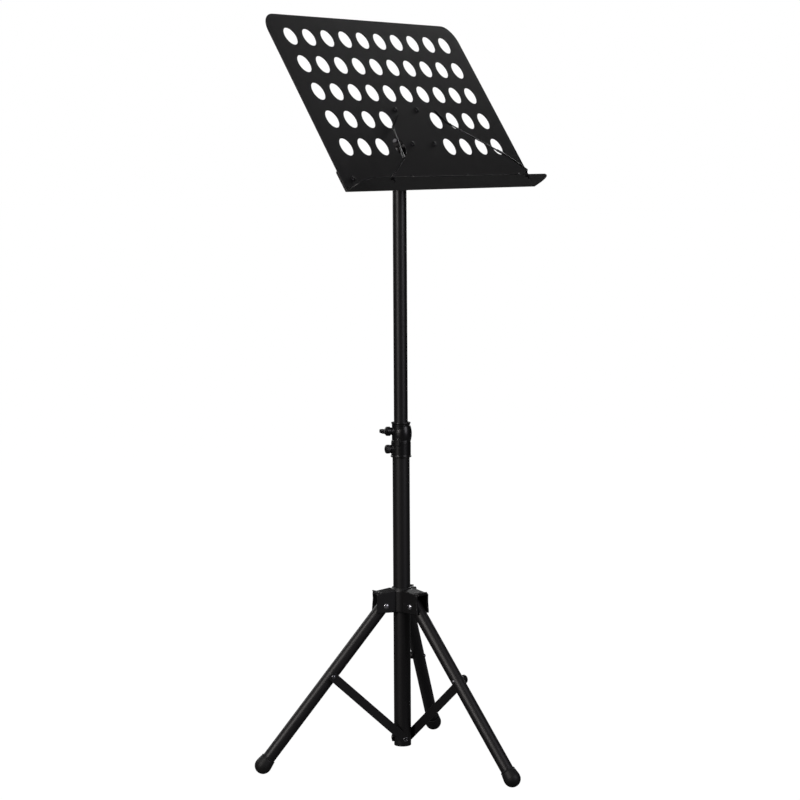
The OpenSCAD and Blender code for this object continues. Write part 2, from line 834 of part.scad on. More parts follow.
// Six-lobed grip on the tilt bolt
module tilt_knob() {
    lobe_r = (tilt_knob_d - tilt_knob_lobe_d) / 2;
    grip_h = tilt_knob_len - tilt_knob_skirt;
    color("#141316") at_hinge() along_x(knob_x) difference() {
        union() {
            cylinder(d = tilt_knob_neck_d, h = tilt_knob_neck_h);
            lift(tilt_knob_skirt) cylinder(r = lobe_r, h = grip_h);
            for (i = [0 : tilt_knob_lobes - 1]) rotate([0, 0, i * 360 / tilt_knob_lobes])
                translate([lobe_r, 0, tilt_knob_skirt + tilt_knob_step])
                    cylinder(d = tilt_knob_lobe_d, h = grip_h - 2 * tilt_knob_step);
        }
        lift(-cut) cylinder(d = tilt_bolt_d + 2 * run_gap, h = tilt_knob_len - tilt_knob_cap_t + cut);
        lift(-cut) hexagon(knob_nut_d, knob_nut_h + cut);
    }
}

module tilt_knob_nut() {
    color("#8f9094") at_hinge() along_x(knob_x) difference() {
        hexagon(knob_nut_d, knob_nut_h);
        lift(-cut) cylinder(d = tilt_bolt_d + 2 * run_gap, h = knob_nut_h + 2 * cut);
    }
}

// ---- desk ----

module desk_outline() {
    bottom_x = desk_w / 2;
    top_x = bottom_x - desk_taper;
    for (s = [0, 1]) mirror([s, 0]) {
        translate([top_x - desk_corner_r, desk_h - desk_corner_r]) circle(r = desk_corner_r);
        square([top_x - desk_corner_r, desk_h]);
        polygon([[0, 0], [bottom_x, 0], [top_x, desk_h - desk_corner_r], [0, desk_h - desk_corner_r]]);
    }
}

// True where a perforation would break into the hinge bracket's blank field
function in_blank(x, y) =
    abs(x) < bracket_w / 2 + blank_side && abs(y - hinge_up) < bracket_h / 2 + blank_end;

module desk_plate() {
    color("#1b1a1c") on_desk() difference() {
        lift(-plate_t) linear_extrude(plate_t) difference() {
            translate([0, tray_t]) intersection() {
                translate([0, -tray_t]) desk_outline();
                translate([-desk_w, 0]) square([2 * desk_w, desk_h]);
            }
            for (i = [0 : hole_cols - 1], j = [0 : hole_rows - 1]) {
                x = (i - (hole_cols - 1) / 2) * hole_pitch;
                y = desk_h - hole_top - j * hole_pitch;
                if (!in_blank(x, y)) translate([x, y]) circle(d = hole_d);
            }
        }
        rivet_bores(-plate_t - cut, cut);
    }
}

// Places children at each rivet that holds the tray
module at_tray_rivets() {
    end_x = desk_w / 2 - tray_rivet_inset;
    for (i = [0 : tray_rivet_count - 1])
        translate([(2 * i / (tray_rivet_count - 1) - 1) * end_x, tray_rivet_up, 0]) children();
}

// Places children at each rivet that holds the bracket
module at_bracket_rivets() {
    for (x = [-1, 1], y = [-1, 1])
        translate([x * bracket_rivet_pitch / 2, hinge_up + y * bracket_rivet_pitch / 2, 0]) children();
}

module rivet_bores(z0, z1) {
    at_tray_rivets() lift(z0) cylinder(d = plate_rivet_d, h = z1 - z0);
    at_bracket_rivets() lift(z0) cylinder(d = plate_rivet_d, h = z1 - z0);
}

// Folded sheet: a flange behind the plate and a shelf in front with rounded corners
module tray() {
    half = desk_w / 2 + tray_overhang;
    back = plate_t + tray_t;
    straight = half - tray_corner_r;
    color("#19181a") on_desk() difference() {
        union() {
            translate([-half, 0, -back]) cube([2 * half, tray_flange_h, tray_t]);
            translate([-half, 0, -back]) cube([2 * half, tray_t, back + tray_depth - tray_corner_r]);
            intersection() {
                translate([-half, 0, 0]) cube([2 * half, tray_t, tray_depth]);
                for (s = [-1, 1]) translate([s * straight, 0, tray_depth - tray_corner_r])
                    cross_pin(2 * tray_corner_r, 0, tray_t);
            }
            translate([-straight, 0, 0]) cube([2 * straight, tray_t, tray_depth]);
        }
        rivet_bores(-back - cut, 0);
        for (s = [-1, 1]) translate([s * holder_x, -cut, tray_depth - holder_inset])
            cross_pin(pin_d + 2 * run_gap, 0, tray_t + 2 * cut);
    }
}

// Rivet through plate and backing sheet: shank, domed front head, flat tail
module sheet_rivet(grip) {
    lift(-grip) cylinder(d = plate_rivet_d, h = grip);
    dome(plate_rivet_head_d, plate_rivet_head_h);
    lift(-grip - plate_rivet_tail_h) cylinder(d = plate_rivet_tail_d, h = plate_rivet_tail_h);
}

module tray_rivets() {
    color("#1b1a1c") on_desk() at_tray_rivets() sheet_rivet(plate_t + tray_t);
}

module bracket_rivets() {
    color("#1b1a1c") on_desk() at_bracket_rivets() sheet_rivet(plate_t + bracket_t);
}

// Base plate behind the desk with two ears that straddle the tilt head
module desk_bracket() {
    face_y = plate_t - hinge_back;
    back = plate_t + bracket_t;
    color("#19181a") difference() {
        union() {
            on_desk() translate([-bracket_w / 2, hinge_up - bracket_h / 2, -back])
                cube([bracket_w, bracket_h, bracket_t]);
            at_hinge() for (s = [0, 1]) mirror([s, 0, 0]) {
                along_x(ear_x) cylinder(r = ear_half, h = ear_t);
                translate([ear_x, face_y, -ear_half]) cube([ear_t, -face_y, 2 * ear_half]);
            }
        }
        on_desk() rivet_bores(-back - cut, 0);
        at_hinge() along_x(-bracket_w) cylinder(d = tilt_bolt_d, h = 2 * bracket_w);
    }
}

// ---- page holders ----

// Bent spring wire; its foot is upset into a slightly thicker round pin that turns in the tray
module holder_wire(side, swing) {
    color("#1a1a1c") at_holder(side, swing) {
        cross_pin(pin_d, -wire_tail, tray_t + pin_rise);
        bent_rod(wire_route, wire_d);
    }
}

module holder_ferrule(side, swing) {
    start = towards(wire_elbow, wire_bend, ferrule_start);
    top = towards(wire_elbow, wire_bend, ferrule_start + ferrule_len);
    color("#1a1a1c") at_holder(side, swing) difference() {
        rod(start, top, ferrule_d);
        rod(wire_elbow, wire_bend, wire_d);
    }
}

// Soft sleeve over the bend and the tip
module holder_sleeve(side, swing) {
    start = towards(wire_bend, wire_elbow, sleeve_overlap);
    over = towards(wire_tip, wire_bend, -sleeve_cap);
    sleeve_route = rounded([start, wire_bend, over], wire_bend_r, wire_bend_steps);
    color("#121214") at_holder(side, swing) difference() {
        bent_rod(sleeve_route, sleeve_d);
        bent_rod(wire_route, wire_d);
    }
}

// Push-on clip under the tray
module holder_clip(side, swing) {
    color("#141416") at_holder(side, swing) difference() {
        cross_pin(clip_d, -face_gap - clip_t, -face_gap);
        cross_pin(pin_d, -wire_tail - cut, 0);
    }
}

lower_tube();
column_foot_plug();
column_bush();
clutch_sleeve();
clutch_collar();
wing_screw_stud();
wing_screw_knob();
thumb_screw_stud();
thumb_screw_head();
hub_body();
hub_rivets();
hub_lock_stud();
hub_lock_knob();
leg_tube(0);  // rear_leg_tube
leg_tube(1);  // left_leg_tube
leg_tube(2);  // right_leg_tube
leg_plug(0);  // rear_leg_plug
leg_plug(1);  // left_leg_plug
leg_plug(2);  // right_leg_plug
foot(0);  // rear_foot
foot(1);  // left_foot
foot(2);  // right_foot
strut_rivet(0);  // rear_strut_rivet
strut_rivet(1);  // left_strut_rivet
strut_rivet(2);  // right_strut_rivet
strut_spacer(0);  // rear_strut_spacer
strut_spacer(1);  // left_strut_spacer
strut_spacer(2);  // right_strut_spacer
strut(0);  // rear_strut
strut(1);  // left_strut
strut(2);  // right_strut
strut_eyelet(0);  // rear_strut_eyelet
strut_eyelet(1);  // left_strut_eyelet
strut_eyelet(2);  // right_strut_eyelet
tube_glide();
upper_tube();
tilt_head();
tilt_head_pin();
desk_plate();
tray();
tray_rivets();
desk_bracket();
bracket_rivets();
tilt_bolt();
tilt_washers();
tilt_knob();
tilt_knob_nut();
holder_wire(-1, left_swing);  // left_holder_wire
holder_wire(1, right_swing);  // right_holder_wire
holder_ferrule(-1, left_swing);  // left_holder_ferrule
holder_ferrule(1, right_swing);  // right_holder_ferrule
holder_sleeve(-1, left_swing);  // left_holder_sleeve
holder_sleeve(1, right_swing);  // right_holder_sleeve
holder_clip(-1, left_swing);  // left_holder_clip
holder_clip(1, right_swing);  // right_holder_clip
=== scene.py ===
import json
import math

import bmesh
import bpy
from mathutils import Matrix, Vector

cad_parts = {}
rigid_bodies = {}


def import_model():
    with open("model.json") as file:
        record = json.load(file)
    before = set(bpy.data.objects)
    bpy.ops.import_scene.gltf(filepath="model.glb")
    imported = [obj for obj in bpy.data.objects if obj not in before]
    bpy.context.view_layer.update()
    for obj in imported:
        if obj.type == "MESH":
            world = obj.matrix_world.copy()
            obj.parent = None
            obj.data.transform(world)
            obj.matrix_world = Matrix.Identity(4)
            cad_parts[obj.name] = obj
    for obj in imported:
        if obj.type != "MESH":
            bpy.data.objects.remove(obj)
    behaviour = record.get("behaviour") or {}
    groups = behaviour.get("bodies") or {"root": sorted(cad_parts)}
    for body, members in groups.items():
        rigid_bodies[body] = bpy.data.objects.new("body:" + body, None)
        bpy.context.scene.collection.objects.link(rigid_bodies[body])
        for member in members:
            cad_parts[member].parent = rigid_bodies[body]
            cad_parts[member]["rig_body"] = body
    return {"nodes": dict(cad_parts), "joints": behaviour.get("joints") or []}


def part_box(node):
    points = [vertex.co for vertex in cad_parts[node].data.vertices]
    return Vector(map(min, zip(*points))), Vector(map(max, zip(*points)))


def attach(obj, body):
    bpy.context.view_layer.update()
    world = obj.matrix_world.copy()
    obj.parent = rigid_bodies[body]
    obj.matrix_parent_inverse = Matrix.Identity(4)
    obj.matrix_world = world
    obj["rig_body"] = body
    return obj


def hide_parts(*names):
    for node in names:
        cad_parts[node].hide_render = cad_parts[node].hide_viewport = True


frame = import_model()
nodes = frame["nodes"]
joints = {joint["name"]: joint for joint in frame["joints"]}
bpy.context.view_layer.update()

# ---- Column tubes ----
# Welded steel tube, one inch outside below and thinner above, cut square and deburred.
# Both are sprayed with satin black powder and baked, and the clutch has rubbed the upper one along its length.
MM = 0.001
LOWER_TUBE_R = 12.7
UPPER_TUBE_R = 10.3
TUBE_WALL = 1.2
DEBURR = 0.3
COAT_BLACK = (0.0042, 0.0036, 0.0043, 1)
COAT_RUBBED = (0.0150, 0.0138, 0.0146, 1)
UPRIGHT = Matrix.Identity(4)


class Wire:
    """A socket in a node tree. Arithmetic on it adds Math nodes, and node() adds any other node."""

    def __init__(self, tree, socket=None):
        self.tree = tree
        self.socket = socket

    def node(self, kind, settings=None, output=0, **sockets):
        made = self.tree.nodes.new(kind)
        for name, value in (settings or {}).items():
            setattr(made, name, value)
        for name, value in sockets.items():
            key = int(name[1:]) if name[0] == "i" and name[1:].isdigit() else name.replace("_", " ")
            if isinstance(value, Wire):
                self.tree.links.new(value.socket, made.inputs[key])
            else:
                made.inputs[key].default_value = value
        return Wire(self.tree, made.outputs[output])

    def maths(self, operation, a, b=0.0):
        return self.node("ShaderNodeMath", {"operation": operation}, i0=a, i1=b)

    def __add__(self, other):
        return self.maths("ADD", self, other)

    def __radd__(self, other):
        return self.maths("ADD", other, self)

    def __sub__(self, other):
        return self.maths("SUBTRACT", self, other)

    def __rsub__(self, other):
        return self.maths("SUBTRACT", other, self)

    def __mul__(self, other):
        return self.maths("MULTIPLY", self, other)

    def __rmul__(self, other):
        return self.maths("MULTIPLY", other, self)

    def bumped(self, strength, depth):
        """A surface normal tilted by this height."""
        return self.node("ShaderNodeBump", Height=self, Strength=strength, Distance=depth)

    def axis(self, index):
        """One coordinate of this vector."""
        return self.node("ShaderNodeSeparateXYZ", output=index, Vector=self)

    def moved(self, **offset):
        """This geometry moved along an axis."""
        return self.node("GeometryNodeTransform", Geometry=self,
                         Translation=self.node("ShaderNodeCombineXYZ", **offset))

    def within(self, low, high):
        """0 at low and below, 1 at high and above."""
        return self.node("ShaderNodeMapRange", {"clamp": True}, Value=self, From_Min=low, From_Max=high)

    def tinted(self, low, high):
        """The colour between two, by this mask."""
        return self.node("ShaderNodeMix", {"data_type": "RGBA"}, output=2, i0=self, i6=low, i7=high)

    def noise(self, scale, detail=2.0, roughness=0.5, distortion=0.0, stretch=None):
        """Noise on these coordinates, which may be drawn out along an axis first."""
        place = self.node("ShaderNodeMapping", Vector=self, Scale=stretch) if stretch else self
        return place.node("ShaderNodeTexNoise", Vector=place, Scale=scale, Detail=detail,
                          Roughness=roughness, Distortion=distortion)

    def specks(self, scale, size):
        """Small round spots at random places."""
        spots = self.node("ShaderNodeTexVoronoi", Vector=self, Scale=scale)
        return 1 - spots.within(size * 0.6, size)


def finish(name, **constants):
    """A new material, its shader, and the Wire of its Object coordinates."""
    material = bpy.data.materials.new(name)
    material.use_nodes = True
    tree = material.node_tree
    shader = tree.nodes["Principled BSDF"]
    for socket, value in constants.items():
        shader.inputs[socket.replace("_", " ")].default_value = value
    place = tree.nodes.new("ShaderNodeTexCoord")
    return material, shader, Wire(tree, place.outputs["Object"])


def drive(shader, **wires):
    for socket, wire in wires.items():
        wire.tree.links.new(wire.socket, shader.inputs[socket.replace("_", " ")])


def powder_coat(name, gloss, handled):
    """Baked powder: orange peel, sunk dust, cloudy gloss, and where it is handled pale rubs along Z."""
    material, shader, place = finish(name)
    peel = place.noise(760.0, 2.0, 0.45)
    grit = place.noise(3600.0, 1.0)
    cloud = place.noise(11.0, 4.0, 0.6)
    dust = place.specks(330.0, 0.13)
    rubs = place.noise(900.0, 3.0, 0.6, stretch=(1, 1, 0.012)).within(0.57, 0.74) * cloud.within(0.42, 0.66)
    worn = rubs * handled + dust * 0.35 + cloud.within(0.5, 0.8) * 0.18
    drive(shader, Base_Color=worn.tinted(COAT_BLACK, COAT_RUBBED),
          Roughness=gloss + cloud * 0.09 + dust * 0.12 - rubs * handled * 0.10)
    height = peel * 0.75 + grit * 0.18 + dust * 0.35 - rubs * handled * 0.12
    drive(shader, Normal=height.bumped(0.09, 0.0005))
    return material


def softened(profile, radius, closed=False, steps=4):
    """A profile whose corners are rounded to about a radius, or less where an edge is short."""
    points = [Vector(point) for point in profile]
    soft = []
    for i, corner in enumerate(points):
        if not closed and i in (0, len(points) - 1):
            soft.append(corner)
            continue
        before, after = points[i - 1] - corner, points[(i + 1) % len(points)] - corner
        start = corner + before * min(radius / before.length, 0.45)
        end = corner + after * min(radius / after.length, 0.45)
        for step in range(steps + 1):
            t = step / steps
            soft.append(start.lerp(corner, t).lerp(corner.lerp(end, t), t))
    return soft


def turned(profile, place=UPRIGHT, closed=False, steps=96, reach=None):
    """A shape turned round the Z axis of a place from its profile of (radius, height) in millimetres.

    A closed profile makes a ring, and an open one starts and ends on the axis. reach(radius, angle, height)
    may change the radius on the way round, as on a grip with lobes.
    """
    shape = bmesh.new()
    rings = []
    for radius, height in profile:
        if radius < 1e-6:
            rings.append([shape.verts.new((0, 0, height))])
            continue
        ring = []
        for k in range(steps):
            angle = 2 * math.pi * k / steps
            r = reach(radius, angle, height) if reach else radius
            ring.append(shape.verts.new((r * math.cos(angle), r * math.sin(angle), height)))
        rings.append(ring)
    following = rings[1:] + (rings[:1] if closed else [])
    for low, high in zip(rings, following):
        for k in range(steps):
            j = (k + 1) % steps
            corners = [low[k % len(low)], low[j % len(low)], high[j % len(high)], high[k % len(high)]]
            corners = [c for i, c in enumerate(corners) if c not in corners[:i]]
            if len(corners) > 2:
                shape.faces.new(corners)
    bmesh.ops.recalc_face_normals(shape, faces=shape.faces)
    shape.transform(place @ Matrix.Scale(MM, 4))
    return shape


def ringed(section, ease, place, steps, ease_steps=4):
    """A ring turned from a closed section whose corners are eased."""
    return turned(softened(section, ease, closed=True, steps=ease_steps), place, closed=True, steps=steps)


def pipe(outer, wall, low, high, place=UPRIGHT):
    """A cut length of tube with deburred ends."""
    inner = outer - wall
    return ringed([(outer, low), (outer, high), (inner, high), (inner, low)], DEBURR, place, 96, 2)


def made(name, shape):
    """A shape as an object, with nothing declared about it yet."""
    mesh = bpy.data.meshes.new(name)
    shape.to_mesh(mesh)
    shape.free()
    piece = bpy.data.objects.new(name, mesh)
    bpy.context.scene.collection.objects.link(piece)
    return piece


def baked(piece, *steps):
    """Applies the piece's modifiers, after adding those given as (type, settings), and leaves a plain mesh."""
    for kind, settings in steps:
        modifier = piece.modifiers.new(kind, kind)
        for key, value in settings.items():
            setattr(modifier, key, value)
    bpy.context.view_layer.update()
    graph = bpy.context.evaluated_depsgraph_get()
    mesh = bpy.data.meshes.new_from_object(piece.evaluated_get(graph))
    piece.modifiers.clear()
    piece.data = mesh
    return piece


def eased(piece, width, segments=2):
    """Rounds every square edge of a piece a little."""
    return baked(piece, ("BEVEL", {"width": width * MM, "segments": segments, "limit_method": "ANGLE",
                                   "angle_limit": math.radians(60)}))


def fitted(piece, material, slot, *stands_for, crease=38):
    """Finishes a piece: smooth shading, its material, the body of the first node it stands for, and those nodes
    hidden.
    """
    piece.data.shade_smooth()
    piece.data.set_sharp_from_angle(angle=math.radians(crease))
    baked(piece, ("WEIGHTED_NORMAL", {"keep_sharp": True}))
    piece.data.materials.clear()
    piece.data.materials.append(material)
    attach(piece, nodes[stands_for[0]]["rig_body"])
    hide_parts(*stands_for)


def dress(material, *names):
    """Gives CAD nodes that stay in view their real finish."""
    for name in names:
        nodes[name].data.materials.clear()
        nodes[name].data.materials.append(material)


def rise(name):
    """Lowest and highest point of a node, in millimetres above the floor."""
    low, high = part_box(name)
    return low[2] / MM, high[2] / MM


tube_coat = powder_coat("satin black powder on tube", 0.41, 0.0)
slid_coat = powder_coat("satin black powder rubbed by sliding", 0.36, 0.7)
fitted(made("lower_column_pipe", pipe(LOWER_TUBE_R, TUBE_WALL, *rise("lower_tube"))),
       tube_coat, "powder_coat", "lower_tube")
fitted(made("upper_column_pipe", pipe(UPPER_TUBE_R, TUBE_WALL, *rise("upper_tube"))),
       slid_coat, "powder_coat", "upper_tube")

# ---- Plug, bush and glide of the column ----
# Black nylon turned to fit the tubes: a stepped plug below, a bush that guides the upper tube, and its glide.
# The plug's edge is rounded, and a shallow round recess marks where it was gated in the mould.
PLUG_ROUND = 1.8
PLUG_RECESS_R = 6.0
PLUG_RECESS = 0.6
PLUG_SPIGOT = (9.5, 11.5, 14)
NYLON_BLACK = (0.0050, 0.0050, 0.0055, 1)
NYLON_PALE = (0.014, 0.014, 0.015, 1)


def moulded_nylon(name):
    """Unpainted nylon: a dull skin with flow marks and a little chalky bloom."""
    material, shader, place = finish(name)
    flow = place.noise(70.0, 5.0, 0.6, 0.8)
    skin = place.noise(1900.0, 2.0)
    bloom = place.noise(24.0, 4.0).within(0.5, 0.8)
    drive(shader, Base_Color=(bloom * 0.55 + skin.within(0.6, 0.8) * 0.2).tinted(NYLON_BLACK, NYLON_PALE),
          Roughness=0.40 + flow * 0.14 + bloom * 0.1)
    drive(shader, Normal=(flow * 0.6 + skin * 0.3).bumped(0.15, 0.0005))
    return material


nylon = moulded_nylon("black nylon")
plug_low = rise("column_foot_plug")[0]
tube_end = rise("lower_tube")[0]
spigot_in, spigot_out, spigot_len = PLUG_SPIGOT
plug_profile = [(0, plug_low + PLUG_RECESS), (PLUG_RECESS_R, plug_low + PLUG_RECESS),
                (PLUG_RECESS_R + PLUG_RECESS, plug_low), (LOWER_TUBE_R, plug_low), (LOWER_TUBE_R, tube_end),
                (spigot_out, tube_end), (spigot_out, tube_end + spigot_len),
                (spigot_in, tube_end + spigot_len), (spigot_in, tube_end), (0, tube_end)]
fitted(made("column_end_plug", turned(softened(plug_profile, PLUG_ROUND, steps=6))),
       nylon, "nylon", "column_foot_plug")
dress(nylon, "column_bush", "tube_glide")

# ---- Clutch ----
# Two glass-filled nylon mouldings, glossy black: a flanged sleeve fixed on the lower tube, with a bulged collar
# on it. Each has a round boss for its clamping screw, and a tab on the collar overlaps the sleeve to stop it
# turning.
SLEEVE_R = 14.6
SLEEVE_FLANGE = 0.9
SLEEVE_FLANGE_H = 3
COLLAR_NECK_R = 13.4
COLLAR_SEAT_R = 14.1
COLLAR_FLANGE_R = 14.3
COLLAR_FLANGE_H = 2
COLLAR_SEAT_TOP = 23
BARREL_R = 14.8
BARREL_ARC = 37
BARREL_SHIFT = 1.4
BARREL_HALF_H = 12
BARREL_STEPS = 12
SCREW_BOSS_R = 5.5
THUMB_BOSS_R = 6.25
BOSS_REACH = 16.6
TAB_HALF_W = 2.5
TAB_STRAIGHT = 3
TAB_T = 1.6
TAB_BEARING = 197
TAB_FIT = 0.15
TAB_LAP = 8
TAB_GAP = 0.3
SLIDE_FIT = 0.1
CLUTCH_SCREW_HOLE = (2.55, 5, 20)
PLASTIC_BLACK = (0.0036, 0.0034, 0.0040, 1)
PLASTIC_SCUFFED = (0.0110, 0.0105, 0.0112, 1)


def moulded_plastic(name, gloss):
    """Polished moulding: slow flow waves in the skin, glass fibre just under it, and light scuffs."""
    material, shader, place = finish(name)
    flow = place.noise(46.0, 4.0, 0.5, 0.7)
    fibre_skin = place.noise(2400.0, 2.0, 0.6, stretch=(1, 1, 0.35))
    scuffs = place.noise(310.0, 4.0, 0.65, stretch=(1, 0.3, 1)).within(0.60, 0.78)
    specks = place.specks(520.0, 0.12)
    drive(shader, Base_Color=(scuffs * 0.6 + specks * 0.3).tinted(PLASTIC_BLACK, PLASTIC_SCUFFED),
          Roughness=gloss + flow * 0.10 + scuffs * 0.14 + specks * 0.1)
    drive(shader, Normal=(flow * 0.8 + fibre_skin * 0.10 + scuffs * 0.08).bumped(0.14, 0.0007))
    return material


def on_axis(point, axis, across):
    """A place whose Z runs along an axis through a point, with Y along the direction across it."""
    z = Vector(axis).normalized()
    x = Vector(across).cross(z).normalized()
    y = z.cross(x)
    return Matrix.Translation(point) @ Matrix((x, y, z)).transposed().to_4x4()


def spoke(joint):
    """The place of a radial screw: Z outward from the column's own axis, Y level."""
    axis = Vector(joints[joint]["axis"])
    return on_axis((0, 0, joints[joint]["pos_m"][2]), axis, Vector((0, 0, 1)).cross(axis))


def slab(outline, low, high, place):
    """A flat plate from an outline in the XY plane of a place, between two heights, in millimetres."""
    shape = bmesh.new()
    under, over = [[shape.verts.new((x, y, z)) for x, y in outline] for z in (low, high)]
    shape.faces.new(under)
    shape.faces.new(over)
    for k in range(len(outline)):
        shape.faces.new((under[k - 1], under[k], over[k], over[k - 1]))
    bmesh.ops.recalc_face_normals(shape, faces=shape.faces)
    shape.transform(place @ Matrix.Scale(MM, 4))
    return shape


def arc(x, y, radius, start, end, steps=12):
    """Points of an arc, its angles in degrees."""
    angles = [math.radians(start + (end - start) * i / steps) for i in range(steps + 1)]
    return [(x + radius * math.cos(a), y + radius * math.sin(a)) for a in angles]


def gathered(*shapes):
    """Several shapes as the shells of one."""
    whole = bmesh.new()
    for shape in shapes:
        part = bpy.data.meshes.new("part")
        shape.to_mesh(part)
        shape.free()
        whole.from_mesh(part)
        bpy.data.meshes.remove(part)
    return whole


def moulding(name, *solids, grain, softness):
    """Overlapping solids fused into one body, its edges and inner corners rounded as by a mould."""
    return baked(made(name, gathered(*solids)),
                 ("REMESH", {"mode": "VOXEL", "voxel_size": grain * MM}),
                 ("SMOOTH", {"factor": 0.5, "iterations": softness}))


def bored(piece, *cutters):
    """Cuts shapes out of a piece."""
    for k, cutter in enumerate(cutters):
        tool = made(f"cutter_{k}", cutter)
        baked(piece, ("BOOLEAN", {"operation": "DIFFERENCE", "object": tool, "solver": "EXACT"}))
        bpy.data.objects.remove(tool)
        cut = bmesh.new()
        cut.from_mesh(piece.data)
        bmesh.ops.remove_doubles(cut, verts=cut.verts, dist=0.002 * MM)
        bmesh.ops.dissolve_degenerate(cut, edges=cut.edges, dist=0.001 * MM)
        cut.to_mesh(piece.data)
        cut.free()
    return piece


def bore(radius, low, high, place=UPRIGHT, flare=0.4):
    """A cutter for a round bore that flares a little at both mouths."""
    wide = radius + flare
    return turned([(0, low - 1), (wide + 1, low - 1), (wide, low), (radius, low + flare),
                   (radius, high - flare), (wide, high), (wide + 1, high + 1), (0, high + 1)], place)


def post(radius, low, high, place=UPRIGHT, steps=96, ease=0):
    """A round post between two heights, its ends eased where asked."""
    profile = [(0, low), (radius, low), (radius, high), (0, high)]
    return turned(softened(profile, ease) if ease else profile, place, steps=steps)


def drill(radius, low, high, place=UPRIGHT):
    """A cutter for a plain drilled hole."""
    return post(radius, low, high, place, steps=40)


plastic = moulded_plastic("glossy black moulding", 0.27)
sleeve_low = rise("clutch_sleeve")[0]
collar_top = rise("clutch_collar")[1]
split = rise("clutch_sleeve")[1]
thumb_spoke = spoke("thumb_screw_turn")
wing_spoke = spoke("wing_screw_turn")
flange_r = SLEEVE_R + SLEEVE_FLANGE
flange_top = sleeve_low + SLEEVE_FLANGE_H
sleeve_profile = [(0, sleeve_low), (SLEEVE_R, sleeve_low), (flange_r, sleeve_low + SLEEVE_FLANGE),
                  (flange_r, flange_top - SLEEVE_FLANGE), (SLEEVE_R, flange_top), (SLEEVE_R, split), (0, split)]
sleeve = moulding("clutch_lower_sleeve", turned(sleeve_profile), post(THUMB_BOSS_R, 0, BOSS_REACH, thumb_spoke),
                  grain=0.4, softness=5)
bored(sleeve, bore(LOWER_TUBE_R, sleeve_low, split), drill(*CLUTCH_SCREW_HOLE, thumb_spoke))
fitted(sleeve, plastic, "gloss_plastic", "clutch_sleeve")

barrel_mid = split + BARREL_HALF_H
barrel = [(0, -BARREL_HALF_H)]
for k in range(2 * BARREL_STEPS + 1):
    height = BARREL_HALF_H * (k / BARREL_STEPS - 1)
    barrel.append((BARREL_R - BARREL_ARC + math.sqrt(BARREL_ARC ** 2 - height ** 2), height))
barrel.append((0, BARREL_HALF_H))
screw_way = wing_spoke.to_3x3() @ Vector((0, 0, 1))
barrel_place = Matrix.Translation(-screw_way * BARREL_SHIFT * MM + Vector((0, 0, barrel_mid * MM)))
collar_profile = [(0, split), (COLLAR_SEAT_R, split), (COLLAR_SEAT_R, split + COLLAR_FLANGE_H),
                  (COLLAR_NECK_R, split + COLLAR_FLANGE_H), (COLLAR_NECK_R, collar_top - COLLAR_FLANGE_H),
                  (COLLAR_FLANGE_R, collar_top - COLLAR_FLANGE_H), (COLLAR_FLANGE_R, collar_top),
                  (0, collar_top)]
tab_way = Vector((math.cos(math.radians(TAB_BEARING)), math.sin(math.radians(TAB_BEARING)), 0))
tab_place = on_axis((0, 0, split * MM), tab_way, Vector((0, 0, 1)).cross(tab_way))
tab_outline = arc(TAB_STRAIGHT, 0, TAB_HALF_W, -90, 90) + arc(-TAB_STRAIGHT, 0, TAB_HALF_W, 90, 270)
collar = moulding("clutch_upper_collar", turned(collar_profile), turned(barrel, barrel_place),
                  post(SCREW_BOSS_R, 0, BOSS_REACH, wing_spoke),
                  slab(tab_outline, SLEEVE_R - TAB_T, SLEEVE_R + TAB_T, tab_place), grain=0.4, softness=5)
bored(collar, bore(LOWER_TUBE_R, split, split + COLLAR_SEAT_TOP, flare=0.1),
      bore(UPPER_TUBE_R + SLIDE_FIT, split, collar_top),
      drill(SLEEVE_R + TAB_FIT, split - TAB_LAP, split - TAB_GAP), drill(*CLUTCH_SCREW_HOLE, wing_spoke))
for bearing in (thumb_spoke, wing_spoke):
    bored(bpy.data.objects["lower_column_pipe"], drill(*CLUTCH_SCREW_HOLE, bearing))
fitted(collar, plastic, "gloss_plastic", "clutch_collar")

# ---- Clutch screws ----
# Zinc-plated steel studs moulded into black plastic heads: a flat wing above, and a round knurled head below.
# The wing's hub flows into a fan-shaped blade that lies level, and straight knurls run round the lower head.
WING_FOOT = 17.0
WING_HUB_R = 6.9
WING_HUB_LEN = 5.4
WING_CONE_LEN = 3
WING_CONE_R = 3.5
WING_HALF_W = 12
WING_CORNER = 6
WING_REACH = 31.2
WING_HALF_T = 2.5
WING_ROOT_HALF = 5.9
THUMB_R = 6.6
THUMB_LEN = 8
THUMB_DOME = 2.8
KNURLS = 36
KNURL_R = 0.34
ZINC = (0.60, 0.60, 0.63, 1)
ZINC_HAZE = (0.36, 0.36, 0.39, 1)


def plated_steel(name, bright, hazy):
    """Zinc over drawn wire: fine drawing lines, and a cloudy passivated haze."""
    material, shader, place = finish(name, Metallic=1.0)
    haze = place.noise(190.0, 5.0, 0.6)
    lines = place.noise(2600.0, 2.0, stretch=(1, 0.08, 1))
    drive(shader, Base_Color=haze.within(0.35, 0.72).tinted(bright, hazy), Roughness=0.15 + haze * 0.24)
    drive(shader, Normal=(lines + haze * 0.4).bumped(0.10, 0.0003))
    return material


def domed(radius, height, base, steps=8):
    """The points of a dome on a base, from its rim to its crown."""
    quarter = [math.pi / 2 * k / steps for k in range(steps)]
    return [(radius * math.cos(a), base + height * math.sin(a)) for a in quarter] + [(0, base + height)]


